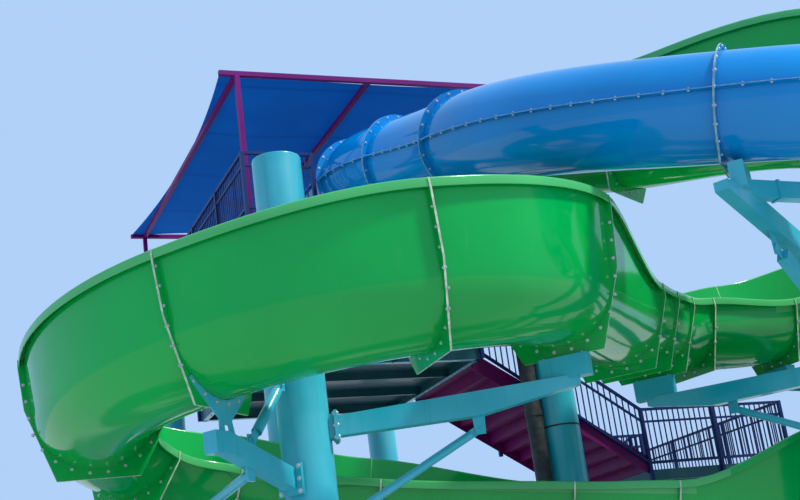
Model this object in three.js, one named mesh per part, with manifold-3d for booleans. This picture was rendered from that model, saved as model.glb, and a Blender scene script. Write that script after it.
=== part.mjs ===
// Water slide tower: an open flume and a closed tube that leave a roofed stair tower,
// wind down on steel columns and run out at the ground. Millimetres, +Z up.
// The origin is the middle of the foot of column_1, which stands inside the big turn of the flume.
// +X runs along the front of the tower, +Y from the front of the tower to its back.

import * as THREE from 'three';
import { mergeVertices } from 'three/addons/utils/BufferGeometryUtils.js';
import Module from 'manifold-3d';

const wasm = await Module();
wasm.setup();

// Fits
const SEAT_GAP = 0.3;            // between bolted faces of two pieces
const END_GAP = 0.2;             // each flume and tube section stops this far short of its joint

// Open flume, moulded glass-fibre sections
const FLUME_RADIUS = 740;        // inside radius of the round bottom
const WALL_LEAN = 6;             // walls lean outwards, degrees
const SHELL = 12;                // moulding thickness
const LIP_OUT = 60;              // rim turned outwards
const LIP_DOWN = 110;            // and then downwards
const FLANGE_OUT = 88;           // joint flange outside the shell
const FLANGE_THICK = 12;
const FOOT_HALF = 505;           // half width of the flat foot under each flange
const FOOT_DROP = 130;           // foot below the flume's floor
const KNEE_UP = 800;             // height where the flange starts to narrow to its foot
const ARC_STEPS = 4;             // facets in a quarter of the round bottom
const TURN_STEP = 14;            // largest turn of one step of a sweep, degrees

// Closed tube, moulded in an upper and a lower half
const TUBE_RADIUS = 670;         // inside radius
const TUBE_SIDES = 16;
const RING_OUT = 88;             // ring flange outside the shell
const SEAM_OUT = 66;             // side seam flange outside the shell
const SEAM_THICK = 24;
const TUBE_FOOT_HALF = 300;
const TUBE_FOOT_DROP = 800;      // tube foot below the tube's centre line

// Steelwork
const COLUMN_RADIUS = 305;       // 24 inch pipe
const COLUMN_SIDES = 16;
const BASE_PLATE = 820;          // square base plate
const BASE_THICK = 30;
const STUB_REACH = 370;          // column bracket face, from the column's axis
const ARM_START = STUB_REACH + SEAT_GAP;
const ARM_WIDTH = 180;
const ARM_DEPTH = 240;
const BEAM_WIDTH = 150;            // level beam beside the tube's arm
const BEAM_DEPTH = 215;
const ARM_KNEE = 290;            // depth where its underside starts to rise
const ARM_TIP = 120;             // depth of its tapered end
const HEAD_HALF = 300;           // half width of the box head between an arm and a foot
const HEAD_RISE = 240;
const LUG = 16;                  // lug and strut end plate thickness
const STRUT_RADIUS = 50;
const POST_RADIUS = 110;         // posts under the lower run
const POST_PLATE = 420;

// Stair tower
const RISERS = 12;               // in each of the four flights
const GOING = 280;
const UPPER_LEVEL = 8600;
const RISE = UPPER_LEVEL / 4 / RISERS;
const STOREY = RISE * RISERS;
const FLIGHT_RUN = GOING * (RISERS - 1);
const LOWER_LEVEL = UPPER_LEVEL - STOREY;
const LANDING_LEVEL = LOWER_LEVEL - STOREY;
const HALF_LEVEL = LANDING_LEVEL - STOREY;
const DECK_PLATE = 40;
const DECK_DEPTH = 250;
const LOWER_DEPTH = 185;
const EDGE_BEAM = 20;
const TOWER_X = [1180, 5850];    // column rows
const TOWER_Y = [4300, 12200];
const DECK_X = [800, 6300];
const DECK_Y = [3980, 12500];
const LOWER_X = [850, 4600];
const LOWER_Y = [4350, 8200];
const FLIGHT_WIDTH = 2500;
const FLIGHT_A_Y = 4720;         // near side of the flight from the lower deck
const FLIGHT_B_Y = 7480;         // near side of the two flights below it
const LANDING_SPLIT = 7400;      // near part of the landing ends here, behind the flight that reaches it
const FLIGHT_B_X = 9200;         // top edge of the flight below the landing
const HALF_LANDING = 1820;       // length of the half landing
const LANDING_X1 = 10600;
const UPPER_FLIGHT_X = [1650, 2950];
const UPPER_FLIGHT_TOP = 10880;
const WELL_X = [1500, 3100];     // opening of the upper deck above its flight
const WELL_Y0 = 7700;
const STRINGER = 12;
const STRINGER_UP = 60;
const STRINGER_DOWN = 260;
const STEP_PLATE = 25;
const RAIL_HEIGHT = 1070;
const RAIL_FOOT = 120;           // bottom rail above the walking level
const RAIL = 45;
const POST = 60;
const POST_SPACING = 1900;
const RAIL_LINE = POST / 2 + SEAT_GAP;
const LEG = 150;
const HANGER = 100;
const PIPE_RADIUS = 135;

// Canopy
const CANOPY_X = [950, 6100];
const CANOPY_Y = [4400, 12300];
const CANOPY_LEVEL = 11300;      // top of the frame
const CANOPY_BEAM = 80;
const BEAM_OVERHANG = 300;
const FABRIC = 8;
const EDGE_SAG = 260;            // how far each fabric edge bows inwards

const colours = {
  green: [0x0a8f2e, 0.16, 0.0],
  blue: [0x0a4fae, 0.14, 0.0],
  teal: [0x1a93a8, 0.42, 0.3],
  dark: [0x1b5a66, 0.5, 0.3],
  navy: [0x14246a, 0.42, 0.3],
  magenta: [0xa0145f, 0.45, 0.25],
  fabric: [0x1d4c9e, 0.85, 0.0],
  pipe: [0x15171c, 0.5, 0.0],
};

const slide = new THREE.Group();
const degrees = THREE.MathUtils.degToRad;
const UP = new THREE.Vector3(0, 0, 1);

function material(name) {
  const [color, roughness, metalness] = colours[name];
  return new THREE.MeshStandardMaterial({ color, roughness, metalness });
}

// Solids: closed meshes with shared vertices, joined and cut as one
function solid(geometry) {
  const plain = geometry.clone();
  for (const name of Object.keys(plain.attributes)) {
    if (name !== 'position') plain.deleteAttribute(name);
  }
  const merged = mergeVertices(plain, 1e-3);
  return new wasm.Manifold(new wasm.Mesh({
    numProp: 3,
    vertProperties: Float32Array.from(merged.attributes.position.array),
    triVerts: Uint32Array.from(merged.index.array),
  }));
}

function geometryOf(body) {
  const mesh = body.simplify(0.02).getMesh();
  const geometry = new THREE.BufferGeometry();
  geometry.setAttribute('position', new THREE.Float32BufferAttribute(mesh.vertProperties, 3));
  geometry.setIndex(new THREE.BufferAttribute(Uint32Array.from(mesh.triVerts), 1));
  geometry.computeVertexNormals();
  return geometry;
}

function join(bodies) {
  return bodies.reduce((whole, body) => whole.add(body));
}

function addPiece(name, colour, body, { x = 0, y = 0, z = 0, heading = 0 } = {}, parent = slide) {
  const mesh = new THREE.Mesh(geometryOf(body), material(colour));
  mesh.name = name;
  mesh.position.set(x, y, z);
  mesh.rotation.z = heading;
  parent.add(mesh);
}

function box(x0, x1, y0, y1, z0, z1) {
  const geometry = new THREE.BoxGeometry(x1 - x0, y1 - y0, z1 - z0);
  geometry.translate((x0 + x1) / 2, (y0 + y1) / 2, (z0 + z1) / 2);
  return solid(geometry);
}

function uprightCylinder(radius, z0, z1, sides) {
  const geometry = new THREE.CylinderGeometry(radius, radius, z1 - z0, sides);
  geometry.rotateX(Math.PI / 2);
  geometry.translate(0, 0, (z0 + z1) / 2);
  return solid(geometry);
}

function shapeOf(points) {
  return new THREE.Shape(points.map(([x, y]) => new THREE.Vector2(x, y)));
}

// Directions at a station: ahead along the slope, to the left, and square to both
function frameAt({ heading = 0, pitch = 0 }) {
  const level = new THREE.Vector3(Math.cos(heading), Math.sin(heading), 0);
  return {
    left: new THREE.Vector3(-Math.sin(heading), Math.cos(heading), 0),
    ahead: level.clone().multiplyScalar(Math.cos(pitch)).addScaledVector(UP, -Math.sin(pitch)),
    up: level.clone().multiplyScalar(Math.sin(pitch)).addScaledVector(UP, Math.cos(pitch)),
  };
}

// A plate whose outline is drawn across the way of travel (x to the left, y up)
function plateAcross(points, thickness, station, along) {
  const geometry = new THREE.ExtrudeGeometry(shapeOf(points), { depth: thickness, bevelEnabled: false });
  const { left, up, ahead } = frameAt(station);
  const place = new THREE.Matrix4().makeBasis(left, up, ahead);
  place.setPosition(ahead.multiplyScalar(along).add(new THREE.Vector3(station.x, station.y, station.z)));
  return solid(geometry.applyMatrix4(place));
}

// A plate whose outline is drawn in an upright plane through the origin (x outwards, y up)
function plateAlong(points, thickness, heading = 0, aside = 0) {
  const geometry = new THREE.ExtrudeGeometry(shapeOf(points), { depth: thickness, bevelEnabled: false });
  geometry.translate(0, 0, -thickness / 2 - aside);
  const { left, up, ahead } = frameAt({ heading });
  return solid(geometry.applyMatrix4(new THREE.Matrix4().makeBasis(ahead, up, left.negate())));
}

// A bar of rectangular section between two points, its sides upright
function bar(from, to, width, depth) {
  const a = new THREE.Vector3(...from);
  const b = new THREE.Vector3(...to);
  const along = b.clone().sub(a);
  const length = along.length();
  along.normalize();
  const side = UP.clone().cross(along).normalize();
  const geometry = new THREE.BoxGeometry(length, width, depth);
  const place = new THREE.Matrix4().makeBasis(along, side, along.clone().cross(side));
  place.setPosition(a.add(b).multiplyScalar(0.5));
  return solid(geometry.applyMatrix4(place));
}

function roundBar(from, to, radius, sides = 10) {
  const a = new THREE.Vector3(...from);
  const b = new THREE.Vector3(...to);
  const along = b.clone().sub(a);
  const geometry = new THREE.CylinderGeometry(radius, radius, along.length(), sides);
  const upright = new THREE.Vector3(0, 1, 0);
  geometry.applyQuaternion(new THREE.Quaternion().setFromUnitVectors(upright, along.clone().normalize()));
  geometry.translate(...a.add(b).multiplyScalar(0.5).toArray());
  return solid(geometry);
}

// Stations of a line of sections. Each run is [length, turn in degrees, drop, left wall, right wall];
// the walls reach their height at the end of the run.
function trace(start, runs) {
  const at = { left: 0, right: 0, ...start, pitch: 0, joint: 0 };
  const stations = [{ ...at }];
  const slopes = [];
  runs.forEach(([length, turn, drop, left = 0, right = 0], run) => {
    const steps = Math.max(length > 2500 ? 2 : 1, Math.ceil(Math.abs(turn) / TURN_STEP));
    const [fromLeft, fromRight] = [at.left, at.right];
    for (let i = 1; i <= steps; i += 1) {
      const bend = degrees(turn) / steps;
      at.x += Math.cos(at.heading + bend / 2) * length / steps;
      at.y += Math.sin(at.heading + bend / 2) * length / steps;
      at.z -= drop / steps;
      at.heading += bend;
      const share = THREE.MathUtils.smoothstep(i / steps, 0, 1);
      at.left = THREE.MathUtils.lerp(fromLeft, left, share);
      at.right = THREE.MathUtils.lerp(fromRight, right, share);
      at.joint = i === steps ? run + 1 : -1;
      stations.push({ ...at });
      slopes.push(Math.atan2(drop, length));
    }
  });
  stations.forEach((station, i) => {
    station.pitch = i === 0 ? 0 : (slopes[i - 1] + slopes[Math.min(i, slopes.length - 1)]) / 2;
    station.past = i === stations.length - 1 ? -END_GAP : FLANGE_THICK;
  });
  return stations;
}

// The stations between two joints, as seen from the first of them
function piece(stations, first, last) {
  const from = stations.findIndex(({ joint }) => joint === first);
  const to = stations.findIndex(({ joint }) => joint === last);
  const origin = stations[from];
  const [c, s] = [Math.cos(origin.heading), Math.sin(origin.heading)];
  return stations.slice(from, to + 1).map((station) => {
    const [dx, dy] = [station.x - origin.x, station.y - origin.y];
    return {
      ...station,
      x: c * dx + s * dy,
      y: c * dy - s * dx,
      z: station.z - origin.z,
      heading: station.heading - origin.heading,
    };
  });
}

// Gathers the facets of a solid that is built ring by ring along its stations
function skin() {
  const positions = [];
  const index = [];
  const ring = (station, outline, along) => {
    const { left, up, ahead } = frameAt(station);
    return outline.map(([x, y]) => {
      const point = new THREE.Vector3(station.x, station.y, station.z);
      point.addScaledVector(left, x).addScaledVector(up, y).addScaledVector(ahead, along);
      positions.push(point.x, point.y, point.z);
      return positions.length / 3 - 1;
    });
  };
  const wall = (from, to, inside = false) => {
    from.forEach((a, j) => {
      const k = (j + 1) % from.length;
      const quad = inside ? [a, to[j], to[k], from[k]] : [a, from[k], to[k], to[j]];
      index.push(quad[0], quad[1], quad[2], quad[0], quad[2], quad[3]);
    });
  };
  const face = (outline, numbers, looksAhead, hole = [], holeNumbers = []) => {
    const all = [...outline, ...hole];
    const allNumbers = [...numbers, ...holeNumbers];
    const vectors = (points) => points.map(([x, y]) => new THREE.Vector2(x, y));
    const holes = hole.length ? [vectors(hole)] : [];
    for (const corners of THREE.ShapeUtils.triangulateShape(vectors(outline), holes)) {
      const [a, b, c] = corners.map((corner) => all[corner]);
      const turn = (b[0] - a[0]) * (c[1] - a[1]) - (b[1] - a[1]) * (c[0] - a[0]);
      const ordered = (turn > 0) === looksAhead ? corners : corners.toReversed();
      index.push(...ordered.map((corner) => allNumbers[corner]));
    }
  };
  const body = () => {
    const geometry = new THREE.BufferGeometry();
    geometry.setAttribute('position', new THREE.Float32BufferAttribute(positions, 3));
    geometry.setIndex(index);
    return solid(geometry);
  };
  return { ring, wall, face, body };
}

// One moulded piece with a flange at each of its joints. section(station) gives outlines:
// shared + shell is the closed outline between the flanges and shared + flange the one within them.
function moulding(stations, section) {
  const { ring, wall, face, body } = skin();
  const planes = [];
  stations.forEach((station, i) => {
    const last = i === stations.length - 1;
    if (station.joint < 0) {
      planes.push({ station, along: 0, next: 'shell' });
      return;
    }
    planes.push({ station, along: i === 0 ? END_GAP : -FLANGE_THICK, next: 'flange' });
    planes.push({ station, along: last ? -END_GAP : FLANGE_THICK, next: last ? null : 'shell' });
  });
  let before = null;
  let reached = null;
  for (const { station, along, next } of planes) {
    const outlines = section(station);
    const numbers = {};
    for (const part of ['shared', 'bore']) numbers[part] = ring(station, outlines[part], along);
    for (const part of ['shell', 'flange']) {
      const wanted = part === before || part === next;
      numbers[part] = wanted ? ring(station, outlines[part], along) : [];
    }
    const closed = (part) => [...numbers.shared, ...numbers[part]];
    if (before) {
      wall([...reached.shared, ...reached[before]], closed(before));
      wall(reached.bore, numbers.bore, true);
    }
    if (!before || !next) {
      const part = before ?? next;
      face([...outlines.shared, ...outlines[part]], closed(part), !next, outlines.bore, numbers.bore);
    } else if (before !== next) {
      const looksAhead = before === 'flange';
      if (outlines.shared.length) {
        const between = (set) => [set.shared.at(-1), ...set.flange, set.shared[0], ...set.shell.toReversed()];
        face(between(outlines), between(numbers), looksAhead);
      } else {
        face(outlines.flange, numbers.flange, looksAhead, outlines.shell, numbers.shell);
      }
    }
    before = next;
    reached = numbers;
  }
  return body();
}

// Half profile of the flume at a distance outside its inner face: its round bottom and leaning wall
function flumeReach(height, outside = 0) {
  const lean = degrees(WALL_LEAN);
  const turned = FLUME_RADIUS * (1 - Math.sin(lean));
  if (height >= turned) return FLUME_RADIUS * Math.cos(lean) + (height - turned) * Math.tan(lean) + outside;
  return Math.sqrt(FLUME_RADIUS ** 2 - (FLUME_RADIUS - height) ** 2) + outside;
}

function flumeSide(height, side) {
  const turned = FLUME_RADIUS * (1 - Math.sin(degrees(WALL_LEAN)));
  const low = Math.min(height - 60, turned);
  const end = Math.acos(1 - low / FLUME_RADIUS);
  const arc = (radius) => Array.from({ length: ARC_STEPS }, (_, k) => {
    const angle = end * (k + 1) / ARC_STEPS;
    return [side * radius * Math.sin(angle), FLUME_RADIUS - radius * Math.cos(angle)];
  });
  const half = flumeReach(height);
  const edge = half + SHELL + LIP_OUT;
  const underLip = height - LIP_DOWN - 20;
  const knee = underLip > KNEE_UP ? [[side * flumeReach(KNEE_UP, SHELL + FLANGE_OUT), KNEE_UP]] : [];
  return {
    inner: [...arc(FLUME_RADIUS), [side * half, height], [side * edge, height]],
    outer: [
      [side * edge, height - LIP_DOWN],
      [side * (edge - SHELL), height - LIP_DOWN],
      [side * (edge - SHELL), height - SHELL],
      [side * flumeReach(height - SHELL, SHELL), height - SHELL],
      ...arc(FLUME_RADIUS + SHELL).toReversed(),
    ],
    flange: [
      [side * (edge + 10), height - 6],
      [side * (edge + 10), underLip],
      ...knee,
      [side * FOOT_HALF, -FOOT_DROP],
    ],
  };
}

function flumeSection({ left, right }) {
  const l = flumeSide(left, 1);
  const r = flumeSide(right, -1);
  return {
    shared: [...l.inner.toReversed(), [0, 0], ...r.inner],
    shell: [...r.outer, [0, -SHELL], ...l.outer.toReversed()],
    flange: [...r.flange, ...l.flange.toReversed()],
    bore: [],
  };
}

function circle(radius) {
  return Array.from({ length: TUBE_SIDES }, (_, k) => {
    const angle = 2 * Math.PI * (k + 0.5) / TUBE_SIDES;
    return [radius * Math.cos(angle), radius * Math.sin(angle)];
  });
}

// The tube's outline starts above its left seam and runs anticlockwise, seen along the way of travel
function tubeSection({ joint }, footed) {
  const radius = TUBE_RADIUS + SHELL;
  const points = circle(radius);
  const root = points[0][0];
  const seam = (side) => [
    [side * root, side * -SEAM_THICK / 2],
    [side * (radius + SEAM_OUT), side * -SEAM_THICK / 2],
    [side * (radius + SEAM_OUT), side * SEAM_THICK / 2],
    [side * root, side * SEAM_THICK / 2],
  ];
  const ring = circle(radius + RING_OUT);
  const feet = [[-TUBE_FOOT_HALF, -TUBE_FOOT_DROP], [TUBE_FOOT_HALF, -TUBE_FOOT_DROP]];
  const half = TUBE_SIDES / 2;
  return {
    shared: [],
    shell: [...points.slice(0, half), ...seam(-1), ...points.slice(half), ...seam(1)],
    flange: footed.includes(joint) ? [...ring.slice(0, half + 2), ...feet, ...ring.slice(-2)] : ring,
    bore: circle(TUBE_RADIUS),
  };
}

// The open flume, from the deck of the tower to the ground
const flumeLine = trace(
  { x: 5200, y: DECK_Y[0] - SEAT_GAP, z: UPPER_LEVEL, heading: degrees(-90), left: 1000, right: 1000 },
  [
    [1300, 6, 200, 900, 1000],
    [1700, 24, 420, 800, 1600],
    [3023, 28, 480, 750, 2000],
    [700, 8, 300, 750, 2000],
    [1997, 52, 400, 750, 1900],
    [1997, 52, 400, 750, 1900],
    [1997, 52, 400, 750, 1800],
    [1997, 52, 350, 850, 1600],
    [1951, 8, 150, 950, 1400],
    [1200, 30, 100, 950, 1300],
    [950, 0, 100, 950, 1200],
    [849, 0, 105, 1000, 1100],
    [2600, 3, 150, 1700, 650],
    [2337, -46.6, 222, 1670, 480],
    [2389, -46.4, 199, 1540, 460],
    [2835, -46.3, 211, 1480, 460],
    [1303, -44, 213, 1480, 500],
    [1516, -50.7, 440, 1450, 700],
    [1950, -6, 410, 1300, 750],
    [2700, -4, 400, 1000, 800],
    [1450, 0, 200, 800, 840],
    [2400, 16, 300, 800, 1750],
    [2400, 25, 350, 800, 1750],
    [2400, 23, 500, 800, 1300],
    [2600, 0, 600, 600, 600],
    [2600, 0, 350, 600, 600],
  ],
);

// Joints of the flume by number, and the pieces that run between them
const START_END = 2;
const UPPER_MID = 3;
const HAIRPIN = [4, 5, 6, 7, 8];
const BEND_FOOT = 10;
const BEND_END = 12;
const TURN = [13, 14, 15, 16];
const BACK_MID = 17;
const BACK_END = 18;
const LOWER = [18, 19, 20, 21, 22, 23, 24];
const RUN_OUT = [24, 25, 26];
const flumePieces = {
  flume_start: [0, START_END],
  flume_upper: [START_END, HAIRPIN[0]],
  flume_hairpin_1: [HAIRPIN[0], HAIRPIN[2]],
  flume_hairpin_2: [HAIRPIN[2], HAIRPIN[4]],
  flume_bend: [HAIRPIN[4], BEND_END],
  flume_lead_in: [BEND_END, TURN[0]],
  flume_turn_1: [TURN[0], TURN[1]],
  flume_turn_2: [TURN[1], TURN[2]],
  flume_turn_3: [TURN[2], TURN[3]],
  flume_back: [TURN[3], BACK_END],
  flume_lower_1: [LOWER[0], LOWER[3]],
  flume_lower_2: [LOWER[3], LOWER[6]],
  flume_run_out: [RUN_OUT[0], RUN_OUT[2]],
};
const flumeJoint = (number) => flumeLine.find(({ joint }) => joint === number);
for (const [name, [first, last]] of Object.entries(flumePieces)) {
  addPiece(name, 'green', moulding(piece(flumeLine, first, last), flumeSection), flumeJoint(first));
}

// The closed tube, cut off after its second curve at an open flanged end
const tubeLine = trace(
  { x: 2745, y: DECK_Y[0] - SEAT_GAP, z: 9210, heading: degrees(-90) },
  [[1245, 18, 190], [1760, -17, 390], [4140, 44, 1130], [2700, 36, 400], [2700, 20, 350]],
);
const TUBE_FEET = [3, 5];
const tubeJoint = (number) => tubeLine.find(({ joint }) => joint === number);
const tubePieces = { tube_start: [0, 2], tube_drop: [2, 3], tube_curve: [3, 5] };
for (const [name, [first, last]] of Object.entries(tubePieces)) {
  const section = (station) => tubeSection(station, TUBE_FEET);
  addPiece(name, 'blue', moulding(piece(tubeLine, first, last), section), tubeJoint(first));
}

// Supports are drawn around a column's axis, +X towards the joint that an arm carries
function reachTo(column, joint) {
  return {
    heading: Math.atan2(joint.y - column.y, joint.x - column.x),
    reach: Math.hypot(joint.x - column.x, joint.y - column.y),
    turn: joint.heading - Math.atan2(joint.y - column.y, joint.x - column.x),
  };
}

// Level just under the foot of a joint flange
function footLevel(joint, drop = FOOT_DROP) {
  return joint.z - drop * Math.cos(joint.pitch) - joint.past * Math.sin(joint.pitch) - SEAT_GAP;
}

function columnBody(height, { stubs = [], lugs = [] } = {}) {
  const bodies = [
    uprightCylinder(COLUMN_RADIUS, 0, height, COLUMN_SIDES),
    box(-BASE_PLATE / 2, BASE_PLATE / 2, -BASE_PLATE / 2, BASE_PLATE / 2, 0, BASE_THICK),
  ];
  const inside = COLUMN_RADIUS - 60;
  for (const { heading, top } of stubs) {
    const low = top - ARM_DEPTH - 20;
    const outline = [[inside, low], [STUB_REACH, low], [STUB_REACH, top + 20], [inside, top + 20]];
    bodies.push(plateAlong(outline, ARM_WIDTH + 40, heading));
  }
  for (const { heading, z } of lugs) {
    const end = COLUMN_RADIUS + 150;
    bodies.push(plateAlong([[inside, z - 70], [end, z - 70], [end, z + 70], [inside, z + 70]], LUG, heading));
  }
  return join(bodies);
}

// Level of an arm's top edge: it rises by its droop from its root to the joint that it carries,
// and runs on level from there
function armTop({ start = ARM_START, reach, headTop, rise = HEAD_RISE, droop = 0 }, x) {
  return headTop - rise - droop * Math.max(0, reach - x) / (reach - start);
}

// An arm that is deepest at its knee and tapers to its tip, with a box head across it
// under the foot that it carries
function armBody(arm) {
  const { start = ARM_START, reach, turn, headTop, rise = HEAD_RISE, taper = 900, past = 130, lug } = arm;
  const [knee, tip] = [reach - taper, reach + past];
  const top = (x) => armTop(arm, x);
  const outline = [[start, top(start) - ARM_DEPTH], [knee, top(knee) - ARM_KNEE],
    [tip, top(tip) - ARM_TIP], [tip, top(tip)], [reach, top(reach)], [start, top(start)]];
  const height = rise + 30;
  const head = new THREE.BoxGeometry(ARM_WIDTH, HEAD_HALF * 2, height);
  head.rotateZ(turn);
  head.translate(reach, 0, headTop - height / 2);
  const bodies = [plateAlong(outline, ARM_WIDTH), solid(head)];
  if (lug) bodies.push(plateAlong(lugOutline(lug.at, top(lug.at) - ARM_DEPTH + 20, lug.z - 70), LUG));
  return join(bodies);
}

function lugOutline(at, from, to) {
  const points = [[at - 80, from], [at - 60, to], [at + 60, to], [at + 80, from]];
  return from > to ? points : points.toReversed();
}

// A strut beside the two lugs that it joins; its ends are [distance out, level]
function strutBody(from, to, { square = false, radius = STRUT_RADIUS } = {}) {
  const a = new THREE.Vector3(from[0], 0, from[1]);
  const b = new THREE.Vector3(to[0], 0, to[1]);
  const along = b.clone().sub(a).normalize();
  const point = (base, distance, aside) => {
    const p = base.clone().addScaledVector(along, distance);
    return [p.x, aside, p.z];
  };
  const cheek = LUG + SEAT_GAP;
  const body = square
    ? bar(point(a, 130, cheek), point(b, -130, cheek), 140, 150)
    : roundBar(point(a, 130, cheek), point(b, -130, cheek), radius);
  return join([
    body,
    bar(point(a, -55, cheek), point(a, 230, cheek), LUG, 100),
    bar(point(b, 55, cheek), point(b, -230, cheek), LUG, 100),
  ]);
}

function supportGroup(column, heading) {
  const group = new THREE.Group();
  group.position.set(column.x, column.y, 0);
  group.rotation.z = heading;
  slide.add(group);
  return group;
}

// Column 1 stands inside the big turn, with a headed arm to one side and a saddled arm to the other
const column1 = { x: 0, y: 0, height: 7820 };
const leadInFoot = flumeJoint(TURN[0]);
const saddled = flumeJoint(TURN[2]);
const rightArm = {
  ...reachTo(column1, leadInFoot),
  headTop: footLevel(leadInFoot),
  droop: 160,
  taper: 1100,
  lug: { at: 2050, z: 4180 },
};
const rightLug = 3350;
const leftArm = { ...reachTo(column1, saddled), headTop: saddled.z, rise: 370, droop: 340 };
const leftTie = { at: 1020, z: armTop(leftArm, 1020) + 90, columnZ: 4900 };
addPiece('column_1', 'teal', columnBody(column1.height, {
  stubs: [rightArm, leftArm].map((arm) => ({ heading: arm.heading, top: armTop(arm, ARM_START) })),
  lugs: [{ heading: rightArm.heading, z: rightLug }, { heading: leftArm.heading, z: leftTie.columnZ }],
}));
const rightGroup = supportGroup(column1, rightArm.heading);
addPiece('arm_right', 'teal', armBody(rightArm), {}, rightGroup);
addPiece('strut_right', 'teal',
  strutBody([rightArm.lug.at, rightArm.lug.z], [COLUMN_RADIUS + 95, rightLug]), {}, rightGroup);

// The saddle is a plate bolted to the flange of the big turn, cut round to the flume's bottom
function saddleOutline(base) {
  const radius = FLUME_RADIUS + SHELL + 6;
  const horn = (angle, out) => [
    (radius + out) * Math.cos(degrees(angle)),
    FLUME_RADIUS + (radius + out) * Math.sin(degrees(angle)),
  ];
  const points = [];
  for (let angle = -128; angle <= -46; angle += 82 / 8) points.push(horn(angle, 0));
  return [...points, horn(-46, 50), horn(-60, 80), [120, base + 190], [150, base], [50, base],
    [40, base + 130], [-40, base + 130], [-50, base], [-150, base], [-120, base + 190], horn(-120, 80),
    horn(-128, 50)];
}
const leftGroup = supportGroup(column1, leftArm.heading);
const saddle = { x: leftArm.reach, y: 0, z: saddled.z, heading: leftArm.turn, pitch: saddled.pitch };
const backFoot = flumeJoint(BACK_MID);
const leftLow = (x) => armTop(leftArm, x) - ARM_DEPTH;
const leftStrut = { at: 1080, z: leftLow(1080) - 80 };
const leftEnd = leftArm.reach + 230;
const leftPoints = [ARM_START, leftArm.reach, leftEnd];
const leftOutline = [...leftPoints.map((x) => [x, leftLow(x)]),
  ...leftPoints.toReversed().map((x) => [x, armTop(leftArm, x)])];
addPiece('arm_left', 'teal', join([
  plateAlong(leftOutline, ARM_WIDTH),
  plateAcross(saddleOutline(-leftArm.rise - 60), LUG, saddle, -FLANGE_THICK - SEAT_GAP - LUG),
  plateAlong(lugOutline(leftTie.at, armTop(leftArm, leftTie.at) - 30, leftTie.z + 70), LUG),
  plateAlong(lugOutline(leftStrut.at, leftLow(leftStrut.at) + 30, leftStrut.z - 60), LUG),
]), {}, leftGroup);
addPiece('tie_left', 'teal',
  strutBody([leftTie.at, leftTie.z], [COLUMN_RADIUS + 95, leftTie.columnZ], { radius: 62 }), {}, leftGroup);

// A raking strut from under the left arm to a bracket on the post under the flange beyond
const strutFrom = new THREE.Vector3(leftStrut.at, -LUG - SEAT_GAP, leftStrut.z)
  .applyAxisAngle(UP, leftArm.heading);
const rakeHeading = Math.atan2(strutFrom.y - backFoot.y, strutFrom.x - backFoot.x);
const RAKE_FOOT = 3350;
const BRACKET = 170;
const rakeAt = (out) => new THREE.Vector3(out, 0, 0)
  .applyAxisAngle(UP, rakeHeading).add(new THREE.Vector3(backFoot.x, backFoot.y, RAKE_FOOT));
const strutSide = new THREE.Vector3(Math.sin(leftArm.heading), -Math.cos(leftArm.heading), 0);
const strutEye = strutFrom.clone().addScaledVector(strutSide, 60);
const strutPad = new THREE.BoxGeometry(LUG, 140, 160);
strutPad.rotateZ(rakeHeading);
strutPad.translate(...rakeAt(BRACKET + SEAT_GAP + LUG / 2).toArray());
const strutCheek = new THREE.BoxGeometry(120, LUG, 120);
strutCheek.rotateZ(leftArm.heading);
strutCheek.translate(...strutFrom.toArray());
addPiece('strut_left', 'teal', join([
  roundBar(strutEye.toArray(), rakeAt(BRACKET + LUG).toArray(), STRUT_RADIUS + 5),
  solid(strutPad),
  solid(strutCheek),
  roundBar(strutFrom.toArray(), strutEye.clone().addScaledVector(strutSide, 20).toArray(), STRUT_RADIUS),
]));

// Column 3 stands under the upper flume, with a head for its foot, and carries the tube to one side
// and the bend on the other
const upperFoot = flumeJoint(UPPER_MID);
const column3 = { x: upperFoot.x, y: upperFoot.y, height: footLevel(upperFoot) - 60 };
const tubeFoot = tubeJoint(TUBE_FEET[0]);
const bendFoot = flumeJoint(BEND_FOOT);
const tubeArm = {
  ...reachTo(column3, tubeFoot),
  headTop: footLevel(tubeFoot, TUBE_FOOT_DROP),
  rise: 290,
  droop: 830,
  past: 600,
  lug: { at: 2900, z: 5790 },
};
const bendArm = {
  ...reachTo(column3, bendFoot),
  headTop: footLevel(bendFoot),
  rise: 280,
  droop: 150,
  lug: { at: 2300, z: 4550 },
};
const tubeLug = 4300;
const bendLug = 3600;
const column3Head = new THREE.BoxGeometry(ARM_WIDTH + 60, HEAD_HALF * 2, 62);
column3Head.rotateZ(upperFoot.heading);
column3Head.translate(0, 0, footLevel(upperFoot) - 31);
addPiece('column_3', 'teal', columnBody(column3.height, {
  stubs: [tubeArm, bendArm].map((arm) => ({ heading: arm.heading, top: armTop(arm, ARM_START) })),
  lugs: [{ heading: tubeArm.heading, z: tubeLug }, { heading: bendArm.heading, z: bendLug }],
}).add(solid(column3Head)), { x: column3.x, y: column3.y });
const tubeGroup = supportGroup(column3, tubeArm.heading);

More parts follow.
